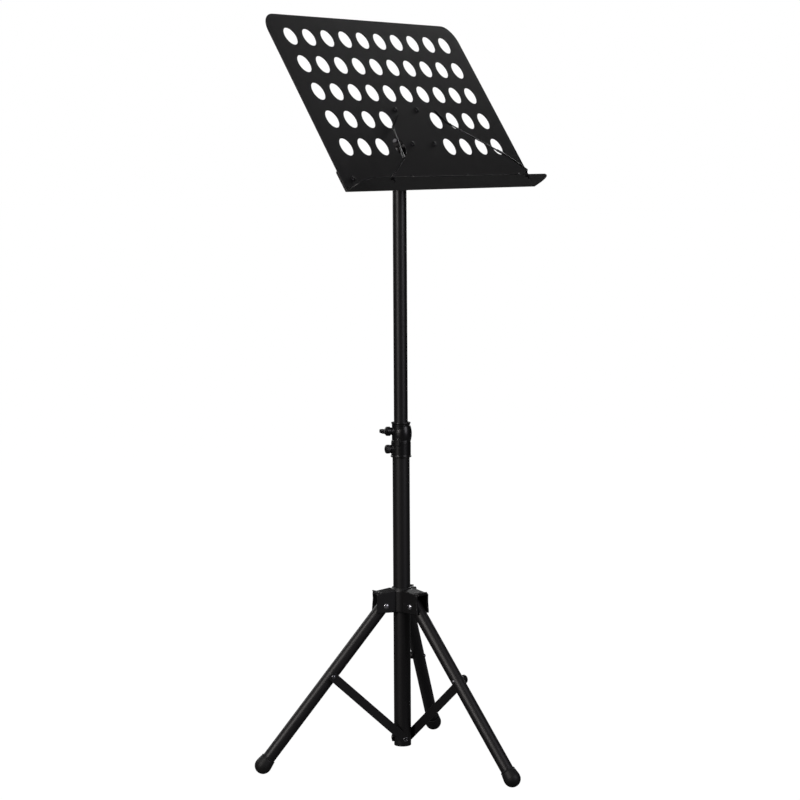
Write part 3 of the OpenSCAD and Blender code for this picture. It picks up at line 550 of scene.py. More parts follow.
def pattern(name, **inputs):
    """A new Geometry Nodes tree and a Wire for each of its inputs, the geometry first and the material last."""
    tree = bpy.data.node_groups.new(name, "GeometryNodeTree")
    kinds = {"Geometry": "Geometry", **inputs, "Material": "Material"}
    for title, kind in kinds.items():
        tree.interface.new_socket(title.replace("_", " "), in_out="INPUT", socket_type="NodeSocket" + kind)
    tree.interface.new_socket("Geometry", in_out="OUTPUT", socket_type="NodeSocketGeometry")
    start = tree.nodes.new("NodeGroupInput")
    return [Wire(tree, start.outputs[title.replace("_", " ")]) for title in kinds]


def ended(geometry, material):
    """Closes a pattern: its instances made real and its material set."""
    real = geometry.node("GeometryNodeRealizeInstances", Geometry=geometry)
    coated = real.node("GeometryNodeSetMaterial", Geometry=real, Material=material)
    finish_line = geometry.tree.nodes.new("NodeGroupOutput")
    geometry.tree.links.new(coated.socket, finish_line.inputs["Geometry"])
    return geometry.tree


def together(*geometries):
    """Several geometries of a pattern as one."""
    joint = geometries[0].node("GeometryNodeJoinGeometry")
    for geometry in geometries:
        joint.tree.links.new(geometry.socket, joint.socket.node.inputs[0])
    return joint


def grown(piece, tree, **sizes):
    """Runs a pattern on a piece, its lengths given in millimetres, and leaves a plain mesh."""
    growth = piece.modifiers.new(tree.name, "NODES")
    growth.node_group = tree
    for item in tree.interface.items_tree:
        title = item.name.replace(" ", "_")
        if item.in_out == "INPUT" and title in sizes:
            size = sizes[title]
            growth[item.identifier] = size * MM if item.socket_type == "NodeSocketFloat" else size
    return baked(piece)


zinc = plated_steel("bright zinc plate", ZINC, ZINC_HAZE)
wing_tip = WING_REACH - WING_CORNER
wing_neck = WING_FOOT + WING_HUB_LEN
wing_outline = ([(wing_neck - 1, -WING_ROOT_HALF)]
                + arc(wing_tip, WING_CORNER - WING_HALF_W, WING_CORNER, -90, 0)
                + arc(wing_tip, WING_HALF_W - WING_CORNER, WING_CORNER, 0, 90)
                + [(wing_neck - 1, WING_ROOT_HALF)])
wing_hub = [(0, WING_FOOT), (WING_HUB_R, WING_FOOT), (WING_HUB_R, wing_neck),
            (WING_CONE_R, wing_neck + WING_CONE_LEN), (0, wing_neck + WING_CONE_LEN)]
wing_flat = wing_spoke @ Matrix.Rotation(-math.pi / 2, 4, "Y")
wing = moulding("wing_screw_grip", turned(wing_hub, wing_spoke),
                slab(wing_outline, -WING_HALF_T, WING_HALF_T, wing_flat), grain=0.35, softness=7)
fitted(wing, plastic, "gloss_plastic", "wing_screw_knob")

core, knurl_count, knurl_ring, knurl_r, knurl_len, knurl_mid, coating = pattern(
    "knurls", Count="Int", Ring="Float", Knurl_Radius="Float", Knurl_Length="Float", Knurl_Middle="Float")
ring = core.node("GeometryNodeMeshCircle", Vertices=knurl_count, Radius=knurl_ring)
lifted = ring.moved(Z=knurl_mid)
rod = ring.node("GeometryNodeMeshCylinder", Vertices=8, Radius=knurl_r, Depth=knurl_len)
ridges = lifted.node("GeometryNodeInstanceOnPoints", Points=lifted, Instance=rod)
knurls = ended(together(core, ridges), coating)

thumb_top = THUMB_LEN - THUMB_DOME
thumb_profile = (softened([(0, 0), (THUMB_R, 0), (THUMB_R, thumb_top)], 1.2)
                 + domed(THUMB_R, THUMB_DOME, thumb_top)[1:])
thumb_profile = [(r - KNURL_R / 2 if r > THUMB_R - KNURL_R else r, z) for r, z in thumb_profile]
thumb = made("thumb_screw_grip", turned(thumb_profile))
grown(thumb, knurls, Count=KNURLS, Ring=THUMB_R - KNURL_R, Knurl_Radius=KNURL_R,
      Knurl_Length=thumb_top - 1.6, Knurl_Middle=thumb_top / 2 + 0.3, Material=plastic)
thumb.data.transform(thumb_spoke @ Matrix.Translation((0, 0, WING_FOOT * MM)))
fitted(thumb, plastic, "gloss_plastic", "thumb_screw_head")
dress(zinc, "wing_screw_stud", "thumb_screw_stud", "hub_lock_stud")

# ---- Hub ----
# One glossy black moulding that slides on the lower tube, with three hollow arms that straddle the legs.
# Each arm has two cheeks and a roof with a tongue that kicks up; a boss at the back takes the lock screw.
HUB_BORE_FIT = 0.1
HUB_SLEEVE_R = 17
HUB_SLEEVE_TOP_R = 14.2
HUB_SKIRT = 10
HUB_RISE = 26
HUB_EAVE = 20
HUB_ARM_R = 43
HUB_CHEEK_IN = 10.2
HUB_CHEEK_OUT = 13.2
HUB_WALL = 3
HUB_TONGUE_HALF = 8.5
HUB_BOSS_R = 6.5
HUB_BOSS_REACH = 23
HUB_LOCK_HOLE = (3.05, 5, 40)
LEGS = ("rear", "left", "right")


def leg_plane(leg):
    """The place of a leg's plane: X outward, Y along its pivots, Z up, with the origin on the column's axis."""
    across = Vector(joints[leg + "_leg_fold"]["axis"])
    return on_axis((0, 0, 0), (0, 0, 1), across)


pivot_h = joints["rear_leg_fold"]["pos_m"][2] / MM
hub_low, hub_high, eave = pivot_h - HUB_SKIRT, pivot_h + HUB_RISE, pivot_h + HUB_EAVE
shoulder = hub_high - 2.5
arm_outline = [(HUB_SLEEVE_TOP_R, hub_low), (HUB_ARM_R, hub_low), (HUB_ARM_R - 1.5, eave - 11),
               (HUB_ARM_R - 1, eave - 3), (HUB_ARM_R - 3.5, eave - 0.4), (HUB_ARM_R - 8.5, eave),
               (HUB_SLEEVE_TOP_R, shoulder)]
roof_outline = [(HUB_SLEEVE_TOP_R, shoulder - HUB_WALL), (HUB_ARM_R - 8.5, eave - HUB_WALL),
                (HUB_ARM_R - 1, eave - HUB_WALL), (HUB_ARM_R - 3.5, eave - 0.4), (HUB_ARM_R - 8.5, eave),
                (HUB_SLEEVE_TOP_R, shoulder)]
tongue_side = [(HUB_ARM_R - 9.5, eave - HUB_WALL), (HUB_ARM_R - 0.6, eave - HUB_WALL + 0.6),
               (HUB_ARM_R + 0.9, eave + 2.3), (HUB_ARM_R - 1.5, eave + 1.7), (HUB_ARM_R - 9.5, eave)]
hub_solids = [turned([(0, hub_low), (HUB_SLEEVE_R, hub_low), (HUB_SLEEVE_R, hub_high - 4.5),
                      (HUB_SLEEVE_TOP_R, hub_high), (0, hub_high)])]
for leg in LEGS:
    side_view = leg_plane(leg) @ Matrix.Rotation(math.pi / 2, 4, "X")
    hub_solids += [slab(arm_outline, HUB_CHEEK_IN, HUB_CHEEK_OUT, side_view),
                   slab(arm_outline, -HUB_CHEEK_OUT, -HUB_CHEEK_IN, side_view),
                   slab(roof_outline, -HUB_CHEEK_OUT, HUB_CHEEK_OUT, side_view),
                   slab(tongue_side, -HUB_TONGUE_HALF, HUB_TONGUE_HALF, side_view)]
lock_spoke = spoke("hub_knob_turn")
hub_solids.append(post(HUB_BOSS_R, 0, HUB_BOSS_REACH, lock_spoke))
hub = moulding("tripod_hub", *hub_solids, grain=0.58, softness=5)
bored(hub, bore(LOWER_TUBE_R + HUB_BORE_FIT, hub_low, hub_high), drill(*HUB_LOCK_HOLE, lock_spoke))
fitted(hub, moulded_plastic("satin black moulding", 0.38), "gloss_plastic", "hub_body")

# ---- Hub rivets and lock knob ----
# Solid zinc-plated rivets with domed heads close each arm over its leg and are the legs' pivots.
# Behind the column a scalloped plastic grip on a steel stud locks the hub to the tube.
RIVET_R = 2.5
PIN_FIT = 0.1
RIVET_HEAD = (4.2, 2.2)
GRIP_R = 8.5
GRIP_LEN = 12
GRIP_DOME = 2
GRIP_FOOT = 23.4
GRIP_BASE = 2
SCALLOPS = 6
SCALLOP_R = 2.75
SCALLOP_RING = 10


def pivot_place(joint, like=None):
    """A place on a hinge, with Z along its axis, or along that of a hinge like it."""
    return on_axis(joints[joint]["pos_m"], joints[like or joint]["axis"], (0, 0, 1))


def rivet(radius, tail, low, head, high, place):
    """A rivet whose shank runs between two heights, with a dome of some (radius, height) beyond each."""
    under = [(r, -z) for r, z in reversed(domed(*tail, -low))]
    return turned(under + [(radius, low), (radius, high)] + domed(*head, high), place, steps=48)


hub_rivets = [rivet(RIVET_R, RIVET_HEAD, -HUB_CHEEK_OUT, RIVET_HEAD, HUB_CHEEK_OUT,
                    pivot_place(leg + "_leg_fold")) for leg in LEGS]
fitted(made("hub_pivot_rivets", gathered(*hub_rivets)), zinc, "bright_steel", "hub_rivets")


def off_middle(angle, count):
    """An angle counted from the middle of the nearest of some equal lobes."""
    pitch = 2 * math.pi / count
    return (angle + pitch / 2) % pitch - pitch / 2


def scalloped(radius, angle, height):
    """Radius of the lock knob: finger scallops cut in from its rim, above a plain base."""
    swing = off_middle(angle, SCALLOPS)
    aside = SCALLOP_RING * math.sin(swing)
    if height < GRIP_BASE or abs(aside) >= SCALLOP_R:
        return radius
    return min(radius, SCALLOP_RING * math.cos(swing) - math.sqrt(SCALLOP_R ** 2 - aside ** 2))


grip_top = GRIP_LEN - GRIP_DOME
grip_profile = (softened([(0, 0), (GRIP_R, 0), (GRIP_R, GRIP_BASE), (GRIP_R, grip_top)], 0.6)
                + domed(GRIP_R, GRIP_DOME, grip_top)[1:])
grip = made("hub_lock_grip", turned(grip_profile, lock_spoke @ Matrix.Translation((0, 0, GRIP_FOOT * MM)),
                                    steps=144, reach=scalloped))
fitted(grip, plastic, "gloss_plastic", "hub_lock_knob")

# ---- Legs and feet ----
# Powder-coated tubes with a nylon plug at the top, where the hub's rivet passes, and a rubber foot pressed on
# below: a cup with a rolled lip that swells into a ball, with the mould's parting line round its middle.
LEG_R = 9.5
LEG_TOP = 4
LEG_END_INSET = 3
FOOT_R = 12.4
FOOT_COLLAR = 14
FOOT_LIP = 1.4
FOOT_FLASH = 0.12
FOOT_DUST = 16
RUBBER_BLACK = (0.0042, 0.0042, 0.0046, 1)
RUBBER_DUSTY = (0.026, 0.0245, 0.0235, 1)


def rubber(name, sole):
    """Moulded rubber: a dull toothed skin, with floor dust that gathers up to the height of the sole."""
    material, shader, place = finish(name, Specular_IOR_Level=0.4)
    tooth = place.noise(1300.0, 3.0)
    smear = place.noise(85.0, 5.0, 0.65)
    if sole:
        grime = (1 - place.axis(2).within(0.0, sole)) * smear.within(0.38, 0.62)
    else:
        grime = smear.within(0.55, 0.8)
    drive(shader, Base_Color=(grime * 0.6 + smear.within(0.6, 0.8) * 0.15).tinted(RUBBER_BLACK, RUBBER_DUSTY),
          Roughness=0.46 + tooth * 0.16 + grime * 0.2)
    drive(shader, Normal=(tooth + smear * 0.5).bumped(0.22, 0.0005))
    return material


def leg_axis(leg):
    """A leg's own place: Z runs down the leg from its pivot, Y along the pivot."""
    fold = joints[leg + "_leg_fold"]
    plane = leg_plane(leg).to_3x3()
    lean = math.radians(fold["range_deg"][1])
    return on_axis(fold["pos_m"], plane @ Vector((math.sin(lean), 0, -math.cos(lean))), fold["axis"])


lean = math.radians(joints["rear_leg_fold"]["range_deg"][1])
leg_len = (pivot_h - FOOT_R) / math.cos(lean)
lip_r = LEG_R + FOOT_LIP
socket_r = LEG_R + 0.05
cup = softened([(socket_r, -LEG_END_INSET), (socket_r, -FOOT_COLLAR), (lip_r, -FOOT_COLLAR),
                (lip_r + 0.15, 1.6 - FOOT_COLLAR), (lip_r - 0.35, 2.4 - FOOT_COLLAR),
                (lip_r + 0.3, 3.4 - FOOT_COLLAR), (FOOT_R, -2.2), (FOOT_R, -0.5)], 0.7)
flash = [(FOOT_R + FOOT_FLASH, -0.15), (FOOT_R + FOOT_FLASH, 0.15), (FOOT_R, 0.5)]
ball = flash + domed(FOOT_R, FOOT_R, 0, 20)[1:]
foot_rubber = rubber("black rubber with floor dust", FOOT_DUST * MM)
for leg in LEGS:
    along = leg_axis(leg)
    tube = made(leg + "_leg_pipe", pipe(LEG_R, TUBE_WALL, -LEG_TOP, leg_len - LEG_END_INSET, along))
    bored(tube, drill(RIVET_R + PIN_FIT, -20, 20, pivot_place(leg + "_leg_fold")))
    fitted(tube, tube_coat, "powder_coat", leg + "_leg_tube")
    sole = along @ Matrix.Translation((0, 0, leg_len * MM))
    fitted(made(leg + "_rubber_foot", turned([(0, -LEG_END_INSET)] + cup + ball, sole)),
           foot_rubber, "rubber", leg + "_foot")
    dress(nylon, leg + "_leg_plug", leg + "_strut_spacer")

# ---- Struts ----
# Flat stamped bars with round ends, powder-coated. Each turns on a rivet through its leg and saddle washer,
# and on a hollow rivet, rolled over at its rim, at the foot of the column.
STRUT_HALF_W = 6.75
STRUT_NEAR = 13.0
STRUT_T = 2.5
STRUT_FOOT_H = 38.5
STRUT_EDGE = 0.45
CROSS_RIVET_R = 2
CROSS_HEAD = (3.7, 1.8)
CROSS_TAIL = (3, 1.8)
CROSS_TAIL_Y = 9.5
CROSS_HEAD_Y = 15.8
EYELET_R = 2.5
EYELET_BORE_R = 1.5
EYELET_RIM_R = 4
EYELET_RIM = 1.2
DULL_ZINC = (0.21, 0.21, 0.22, 1)
DULL_ZINC_HAZE = (0.12, 0.12, 0.13, 1)

strut_coat = powder_coat("satin black powder on bar", 0.41, 0.0)
dull_zinc = plated_steel("dulled dark zinc plate", DULL_ZINC, DULL_ZINC_HAZE)
strut_far = STRUT_NEAR + STRUT_T
eyelet = [(EYELET_BORE_R, STRUT_NEAR), (EYELET_R, STRUT_NEAR), (EYELET_R, strut_far),
          (EYELET_RIM_R, strut_far), (EYELET_RIM_R - 0.5, strut_far + EYELET_RIM),
          (EYELET_BORE_R + 0.7, strut_far + EYELET_RIM), (EYELET_BORE_R, strut_far + 0.4)]
for leg in LEGS:
    top = Vector(joints[leg + "_strut_fold"]["pos_m"])
    foot = Vector((0, 0, STRUT_FOOT_H * MM))
    across = Vector(joints[leg + "_leg_fold"]["axis"])
    along = on_axis(foot, top - foot, across)
    length = (top - foot).length / MM
    pin_place = pivot_place(leg + "_strut_fold", leg + "_leg_fold")
    outline = arc(0, length, STRUT_HALF_W, 0, 180, 24) + arc(0, 0, STRUT_HALF_W, 180, 360, 24)
    bar_side = along @ Matrix.Rotation(math.pi / 2, 4, "X")
    bar = made(leg + "_strut_bar", slab(outline, -strut_far, -STRUT_NEAR, bar_side))
    eased(bar, STRUT_EDGE, 3)
    bored(bar, drill(CROSS_RIVET_R + PIN_FIT, 10, 20, pin_place))
    fitted(bar, strut_coat, "powder_coat", leg + "_strut")
    fitted(made(leg + "_hollow_rivet", ringed(eyelet, 0.6, on_axis(foot, across, (0, 0, 1)), 48)),
           dull_zinc, "bright_steel", leg + "_strut_eyelet")
    cross_rivet = rivet(CROSS_RIVET_R, CROSS_TAIL, -CROSS_TAIL_Y, CROSS_HEAD, CROSS_HEAD_Y, pin_place)
    fitted(made(leg + "_cross_rivet", cross_rivet), dull_zinc, "bright_steel", leg + "_strut_rivet")

# ---- Tilt head ----
# A glossy black moulding pinned on the upper tube, whose flat tongue carries the desk on the clamping bolt.
# The bolt is zinc-plated, with a chamfered hexagonal head at the left and dark fibre washers beside the tongue.
HEAD_R = 13.5
HEAD_CAP = 4
TONGUE_HALF_T = 6
TONGUE_R = 11
PIN_R = 2
PIN_DROP = 12
BOLT_R = 4
BOLT_HEAD = (15.1, 9.8)
BOLT_END = 22.8
HEX_HALF_W = 6.5
WASHER_R = 10
WASHER_T = 1
WASHER_X = 6.3
FIBRE_DARK = (0.030, 0.024, 0.020, 1)
FIBRE_PALE = (0.060, 0.050, 0.042, 1)

hinge = Vector(joints["desk_tilt"]["pos_m"])
hinge_h = hinge.z / MM
head_low = rise("tilt_head")[0]
tube_top = rise("upper_tube")[1]
crosswise = on_axis(hinge, (1, 0, 0), (0, 1, 0))
tongue_outline = arc(0, hinge_h, TONGUE_R, 0, 180, 32) + [(-TONGUE_R, tube_top), (TONGUE_R, tube_top)]
end_view = on_axis((0, 0, 0), (1, 0, 0), (0, 0, 1))
head_body = moulding("tilt_head_moulding", post(HEAD_R, head_low, tube_top + HEAD_CAP),
                     slab(tongue_outline, -TONGUE_HALF_T, TONGUE_HALF_T, end_view), grain=0.45, softness=6)
bored(head_body, bore(UPPER_TUBE_R, head_low, tube_top), drill(BOLT_R + PIN_FIT, -9, 9, crosswise))
fitted(head_body, plastic, "gloss_plastic", "tilt_head")
pin_place = on_axis((0, 0, (tube_top - PIN_DROP) * MM), (0, 1, 0), (0, 0, 1))
fitted(made("tilt_head_cross_pin", post(PIN_R, -HEAD_R, HEAD_R, pin_place, 48, 0.4)),
       zinc, "bright_steel", "tilt_head_pin")


def hexed(radius, angle, height):
    """Radius of the bolt: a hexagon within its head, with the corners taken off by a cone at the outer face."""
    if height > -BOLT_HEAD[1] + 0.01:
        return radius
    sixth = math.pi / 3
    corner = HEX_HALF_W / math.cos(angle % sixth - sixth / 2)
    return min(corner, radius)


up_desk = Vector(joints["right_holder_swing"]["axis"]).normalized()
off_desk = Vector((1, 0, 0)).cross(up_desk)
bolt_place = on_axis(hinge, (1, 0, 0), -off_desk)
hex_corner_r = HEX_HALF_W / math.cos(math.pi / 6)
outer, inner = BOLT_HEAD
bolt_profile = [(0, -outer), (HEX_HALF_W - 0.3, -outer), (hex_corner_r, -outer + 0.9), (hex_corner_r, -inner),
                (BOLT_R, -inner + 0.02), (BOLT_R, BOLT_END - 0.6), (BOLT_R - 0.6, BOLT_END), (0, BOLT_END)]
fitted(made("tilt_clamp_bolt", turned(bolt_profile, bolt_place, reach=hexed)),
       zinc, "bright_steel", "tilt_bolt", crease=20)

fibre, fibre_shader, fibre_place = finish("vulcanised fibre")
streak = fibre_place.noise(420.0, 5.0, 0.6, 0.4)
drive(fibre_shader, Base_Color=streak.tinted(FIBRE_DARK, FIBRE_PALE), Roughness=0.55 + streak * 0.25)
drive(fibre_shader, Normal=streak.bumped(0.2, 0.0003))
washers = [ringed([(BOLT_R, x), (WASHER_R, x), (WASHER_R, x + WASHER_T), (BOLT_R, x + WASHER_T)],
                  0.25, bolt_place, 72) for x in (WASHER_X, -WASHER_X - WASHER_T)]
fitted(made("tilt_fibre_washers", gathered(*washers)), fibre, "fibre", "tilt_washers")

# ---- Tilt knob ----
# A six-lobed plastic grip at the right of the hinge, moulded round a steel nut that draws up on the bolt.
# A round cap with a fine groove closes its outer face.
KNOB_X = 10.1
KNOB_LEN = 17
KNOB_NECK_R = 9
KNOB_SKIRT = 4
KNOB_LOBES = 6
KNOB_LOBE_R = 4.5
KNOB_LOBE_RING = 12.5
KNOB_REACH = 17
KNOB_CAP_R = 7.5
KNOB_BORE = 13
KNOB_FIT = 0.15


def lobed(radius, angle, height):
    """Radius of the knob: six round lobes, with the hollows between them filled softly."""
    if radius <= KNOB_NECK_R:
        return radius
    swing = off_middle(angle, KNOB_LOBES)
    aside = KNOB_LOBE_RING * math.sin(swing)
    lobe = KNOB_LOBE_RING * math.cos(swing) + math.sqrt(max(KNOB_LOBE_R ** 2 - aside ** 2, 0))
    outline = (max(lobe, 0) ** 24 + KNOB_LOBE_RING ** 24) ** (1 / 24)
    share = (radius - KNOB_NECK_R) / (KNOB_REACH - KNOB_NECK_R)
    return KNOB_NECK_R + (min(outline, KNOB_REACH) - KNOB_NECK_R) * share


knob_profile = softened([(BOLT_R + KNOB_FIT, 0), (KNOB_NECK_R, 0), (KNOB_NECK_R, KNOB_SKIRT),
                         (KNOB_REACH, KNOB_SKIRT + 0.5), (KNOB_REACH, KNOB_LEN - 1.2),
                         (KNOB_REACH - 3, KNOB_LEN)], 1.6, steps=6)
knob_face = softened([(KNOB_REACH - 3, KNOB_LEN), (KNOB_CAP_R + 0.5, KNOB_LEN), (KNOB_CAP_R, KNOB_LEN - 0.7),
                      (KNOB_CAP_R - 0.5, KNOB_LEN - 0.1), (0, KNOB_LEN - 0.1)], 0.3)
knob_place = bolt_place @ Matrix.Translation((0, 0, KNOB_X * MM))
knob_bore = [(0, KNOB_BORE), (BOLT_R + KNOB_FIT, KNOB_BORE)]
knob_shape = turned(knob_bore + knob_profile + knob_face[1:], knob_place, steps=180, reach=lobed)
fitted(made("tilt_knob_grip", knob_shape), plastic, "gloss_plastic", "tilt_knob")
dress(zinc, "tilt_knob_nut")

# ---- Desk plate ----
# Sheet steel, blanked with two round upper corners and punched with a grid of round holes, save where the hinge
# bracket lies behind it. The punch leaves each edge slightly rolled, and the whole is powder-coated.
PLATE_T = 1.2
DESK_HALF_W = 255
DESK_TAPER = 5
DESK_H = 287
DESK_CORNER = 30
HOLE_R = 14
HOLE_PITCH = 45
HOLE_COLS = 10
HOLE_ROWS = 5
HOLE_TOP = 36
HINGE_BACK = 32
HINGE_UP = 105
BLANK_HALF = (45, 48)
SHEET_EDGE = 0.28

sheet_coat = powder_coat("satin black powder on sheet", 0.36, 0.0)
desk = on_axis(hinge + (off_desk * HINGE_BACK - up_desk * HINGE_UP) * MM, off_desk, up_desk)
edge, columns, rows, pitch, hole_r, middle_y, blank_x, blank_y, blank_mid, thick, coating = pattern(
    "perforated sheet", Columns="Int", Rows="Int", Pitch="Float", Hole_Radius="Float", Grid_Middle="Float",
    Blank_Half_Width="Float", Blank_Half_Height="Float", Blank_Middle="Float", Thickness="Float")
grid = edge.node("GeometryNodeMeshGrid", Size_X=(columns - 1) * pitch, Size_Y=(rows - 1) * pitch,
                 Vertices_X=columns, Vertices_Y=rows)
grid = grid.moved(Y=middle_y)
spot = grid.node("GeometryNodeInputPosition")
beside = spot.maths("LESS_THAN", spot.maths("ABSOLUTE", spot.axis(0)), blank_x)
behind = spot.maths("LESS_THAN", spot.maths("ABSOLUTE", spot.axis(1) - blank_mid), blank_y)
grid = grid.node("GeometryNodeDeleteGeometry", {"domain": "POINT"}, Geometry=grid, Selection=beside * behind)
punch = grid.node("GeometryNodeCurvePrimitiveCircle", Resolution=56, Radius=hole_r)
punches = grid.node("GeometryNodeInstanceOnPoints", Points=grid, Instance=punch)
punches = punches.node("GeometryNodeRealizeInstances", Geometry=punches)
rim = edge.node("GeometryNodeMeshToCurve", Mesh=edge)
face = together(rim, punches)
face = face.node("GeometryNodeFillCurve", {"mode": "TRIANGLES"}, Curve=face)
raised = face.node("GeometryNodeExtrudeMesh", Mesh=face, Individual=False,
                   Offset=face.node("ShaderNodeCombineXYZ", Z=1.0), Offset_Scale=thick)
back = face.node("GeometryNodeFlipFaces", Mesh=face)
sheet = together(raised, back)
sheet = sheet.node("GeometryNodeMergeByDistance", Geometry=sheet, Distance=0.00002)
perforated = ended(sheet.moved(Z=0 - thick), coating)

corner_x = DESK_HALF_W - DESK_TAPER - DESK_CORNER
corner_y = DESK_H - DESK_CORNER
outline = ([(-DESK_HALF_W, PLATE_T), (DESK_HALF_W, PLATE_T)] + arc(corner_x, corner_y, DESK_CORNER, 0, 90, 20)
           + arc(-corner_x, corner_y, DESK_CORNER, 90, 180, 20))
blank = bmesh.new()
rim_points = [blank.verts.new((x * MM, y * MM, 0)) for x, y in outline]
for k in range(len(rim_points)):
    blank.edges.new((rim_points[k - 1], rim_points[k]))
grid_middle = DESK_H - HOLE_TOP - (HOLE_ROWS - 1) * HOLE_PITCH / 2
plate = grown(made("perforated_desk", blank), perforated, Columns=HOLE_COLS, Rows=HOLE_ROWS,
              Pitch=HOLE_PITCH, Hole_Radius=HOLE_R, Grid_Middle=grid_middle,
              Blank_Half_Width=BLANK_HALF[0], Blank_Half_Height=BLANK_HALF[1],
              Blank_Middle=HINGE_UP, Thickness=PLATE_T, Material=sheet_coat)
eased(plate, SHEET_EDGE)
plate.data.transform(desk)
fitted(plate, sheet_coat, "powder_coat", "desk_plate")

# ---- Tray ----
# One strip of sheet steel folded on a press brake: a flange riveted behind the desk and a shelf in front of it
# with large round corners, powder-coated with the desk.
TRAY_HALF = 256
TRAY_BACK = 1.8
TRAY_DEPTH = 36
TRAY_CORNER = 26
FLANGE_H = 34
FLANGE_CORNER = 5
FOLD_R = 1.3
HOLDER_X = 184
HOLDER_Z = 33
PIN_R_HOLDER = 1.2

straight = TRAY_HALF - TRAY_CORNER
shelf = ([(TRAY_HALF, -TRAY_BACK)] + arc(straight, TRAY_DEPTH - TRAY_CORNER, TRAY_CORNER, 0, 90, 20)
         + arc(-straight, TRAY_DEPTH - TRAY_CORNER, TRAY_CORNER, 90, 180, 20) + [(-TRAY_HALF, -TRAY_BACK)])
flange = (arc(-TRAY_HALF + FLANGE_CORNER, FLANGE_H - FLANGE_CORNER, FLANGE_CORNER, 180, 90, 6)
          + arc(TRAY_HALF - FLANGE_CORNER, FLANGE_H - FLANGE_CORNER, FLANGE_CORNER, 90, 0, 6))
folded = bmesh.new()
shelf_points = [folded.verts.new((x, PLATE_T / 2, z)) for x, z in shelf]
flange_points = [folded.verts.new((x, y, -TRAY_BACK)) for x, y in flange]
folded.faces.new(shelf_points)
folded.faces.new([shelf_points[-1]] + flange_points + [shelf_points[0]])
bmesh.ops.recalc_face_normals(folded, faces=folded.faces)
folded.transform(desk @ Matrix.Scale(MM, 4))
tray = made("folded_tray", folded)
eased(tray, FOLD_R, 5)
baked(tray, ("SOLIDIFY", {"thickness": PLATE_T * MM, "offset": 0.0, "use_even_offset": True}))
eased(tray, SHEET_EDGE)
for side in (-1, 1):
    holder_hole = desk @ Vector((side * HOLDER_X * MM, 0, HOLDER_Z * MM))
    bored(tray, drill(PIN_R_HOLDER + PIN_FIT, -3, 5, on_axis(holder_hole, up_desk, (1, 0, 0))))
fitted(tray, sheet_coat, "powder_coat", "tray")

# ---- Hinge bracket ----
# A pressed steel base riveted behind the desk, with two round-ended ears that straddle the tilt head.
# The ears are welded to the base with a small bead on each side.
BRACKET_HALF_W = 40
BRACKET_HALF_H = 38
BRACKET_T = 1.5
BRACKET_CORNER = 7
EAR_X = 7.3
EAR_T = 2.5
EAR_R = 12
WELD_R = 1.3
WELD_RIPPLE = 1.6

base_back = PLATE_T + BRACKET_T
wide, tall = BRACKET_HALF_W - BRACKET_CORNER, BRACKET_HALF_H - BRACKET_CORNER
base_outline = [point for turn, (sx, sy) in enumerate([(1, 1), (-1, 1), (-1, -1), (1, -1)])
                for point in arc(sx * wide, HINGE_UP + sy * tall, BRACKET_CORNER, 90 * turn, 90 * turn + 90, 6)]
ear_view = on_axis(hinge, (1, 0, 0), up_desk)
ear_foot = base_back - HINGE_BACK
ear_outline = arc(0, 0, EAR_R, -90, 90, 28) + [(ear_foot, EAR_R), (ear_foot, -EAR_R)]


def rippled(radius, angle, height):
    """Radius of a weld bead, with the ripples that the arc leaves along it."""
    return radius * (0.90 + 0.10 * math.cos(2 * math.pi * height / WELD_RIPPLE))


bead = [(WELD_R, z / 4) for z in range(-4 * EAR_R + 4, 4 * EAR_R - 3)]
bead = [(0, bead[0][1] - 0.6)] + bead + [(0, bead[-1][1] + 0.6)]
parts = [slab(base_outline, -base_back, -PLATE_T, desk)]
beads = []
for side in (1, -1):
    for face in (EAR_X, EAR_X + EAR_T):
        bead_middle = desk @ Vector((side * face * MM, HINGE_UP * MM, -base_back * MM))
        beads.append(turned(bead, on_axis(bead_middle, up_desk, (1, 0, 0)), steps=16, reach=rippled))
    parts.append(slab(ear_outline, *sorted((side * EAR_X, side * (EAR_X + EAR_T))), ear_view))
plates = eased(made("bracket_plates", gathered(*parts)), 0.4, 3)
bracket_shape = gathered(*beads)
bracket_shape.from_mesh(plates.data)
bpy.data.objects.remove(plates)
fitted(made("hinge_bracket", bracket_shape), sheet_coat, "powder_coat", "desk_bracket")

# ---- Sheet rivets ----
# Small solid rivets, domed in front and flat behind, hold the tray and the hinge bracket to the desk plate.
# They were set before the sheet was coated, so the same black covers them.
SHEET_RIVET_R = 2
SHEET_HEAD = (4, 1.6)
SHEET_TAIL = (3.25, 1)
TRAY_RIVETS = ((-225, 20), (-75, 20), (75, 20), (225, 20))
BRACKET_RIVETS = ((-29, 76), (29, 76), (-29, 134), (29, 134))

spots, rivet, coating = pattern("rivets", Rivet="Object")
rivet_shape = spots.node("GeometryNodeObjectInfo", output="Geometry", Object=rivet)
rivets = ended(spots.node("GeometryNodeInstanceOnPoints", Points=spots, Instance=rivet_shape), coating)


def riveted(name, places, sheet, stands_for):
    """Rivets through the plate and a sheet of some thickness behind it."""
    grip = PLATE_T + sheet
    tail_r, tail_h = SHEET_TAIL
    low = -grip - tail_h
    tail = softened([(0, low), (tail_r, low), (tail_r, -grip), (SHEET_RIVET_R, -grip)], 0.4)
    model = made("rivet", turned(tail + [(SHEET_RIVET_R, 0)] + domed(*SHEET_HEAD, 0), steps=40))
    points = bmesh.new()
    for x, y in places:
        points.verts.new((x * MM, y * MM, 0))
    piece = grown(made(name, points), rivets, Rivet=model, Material=sheet_coat)
    bpy.data.objects.remove(model)
    piece.data.transform(desk)
    fitted(piece, sheet_coat, "powder_coat", stands_for)


riveted("tray_rivet_row", TRAY_RIVETS, PLATE_T, "tray_rivets")
riveted("bracket_rivet_square", BRACKET_RIVETS, BRACKET_T, "bracket_rivets")

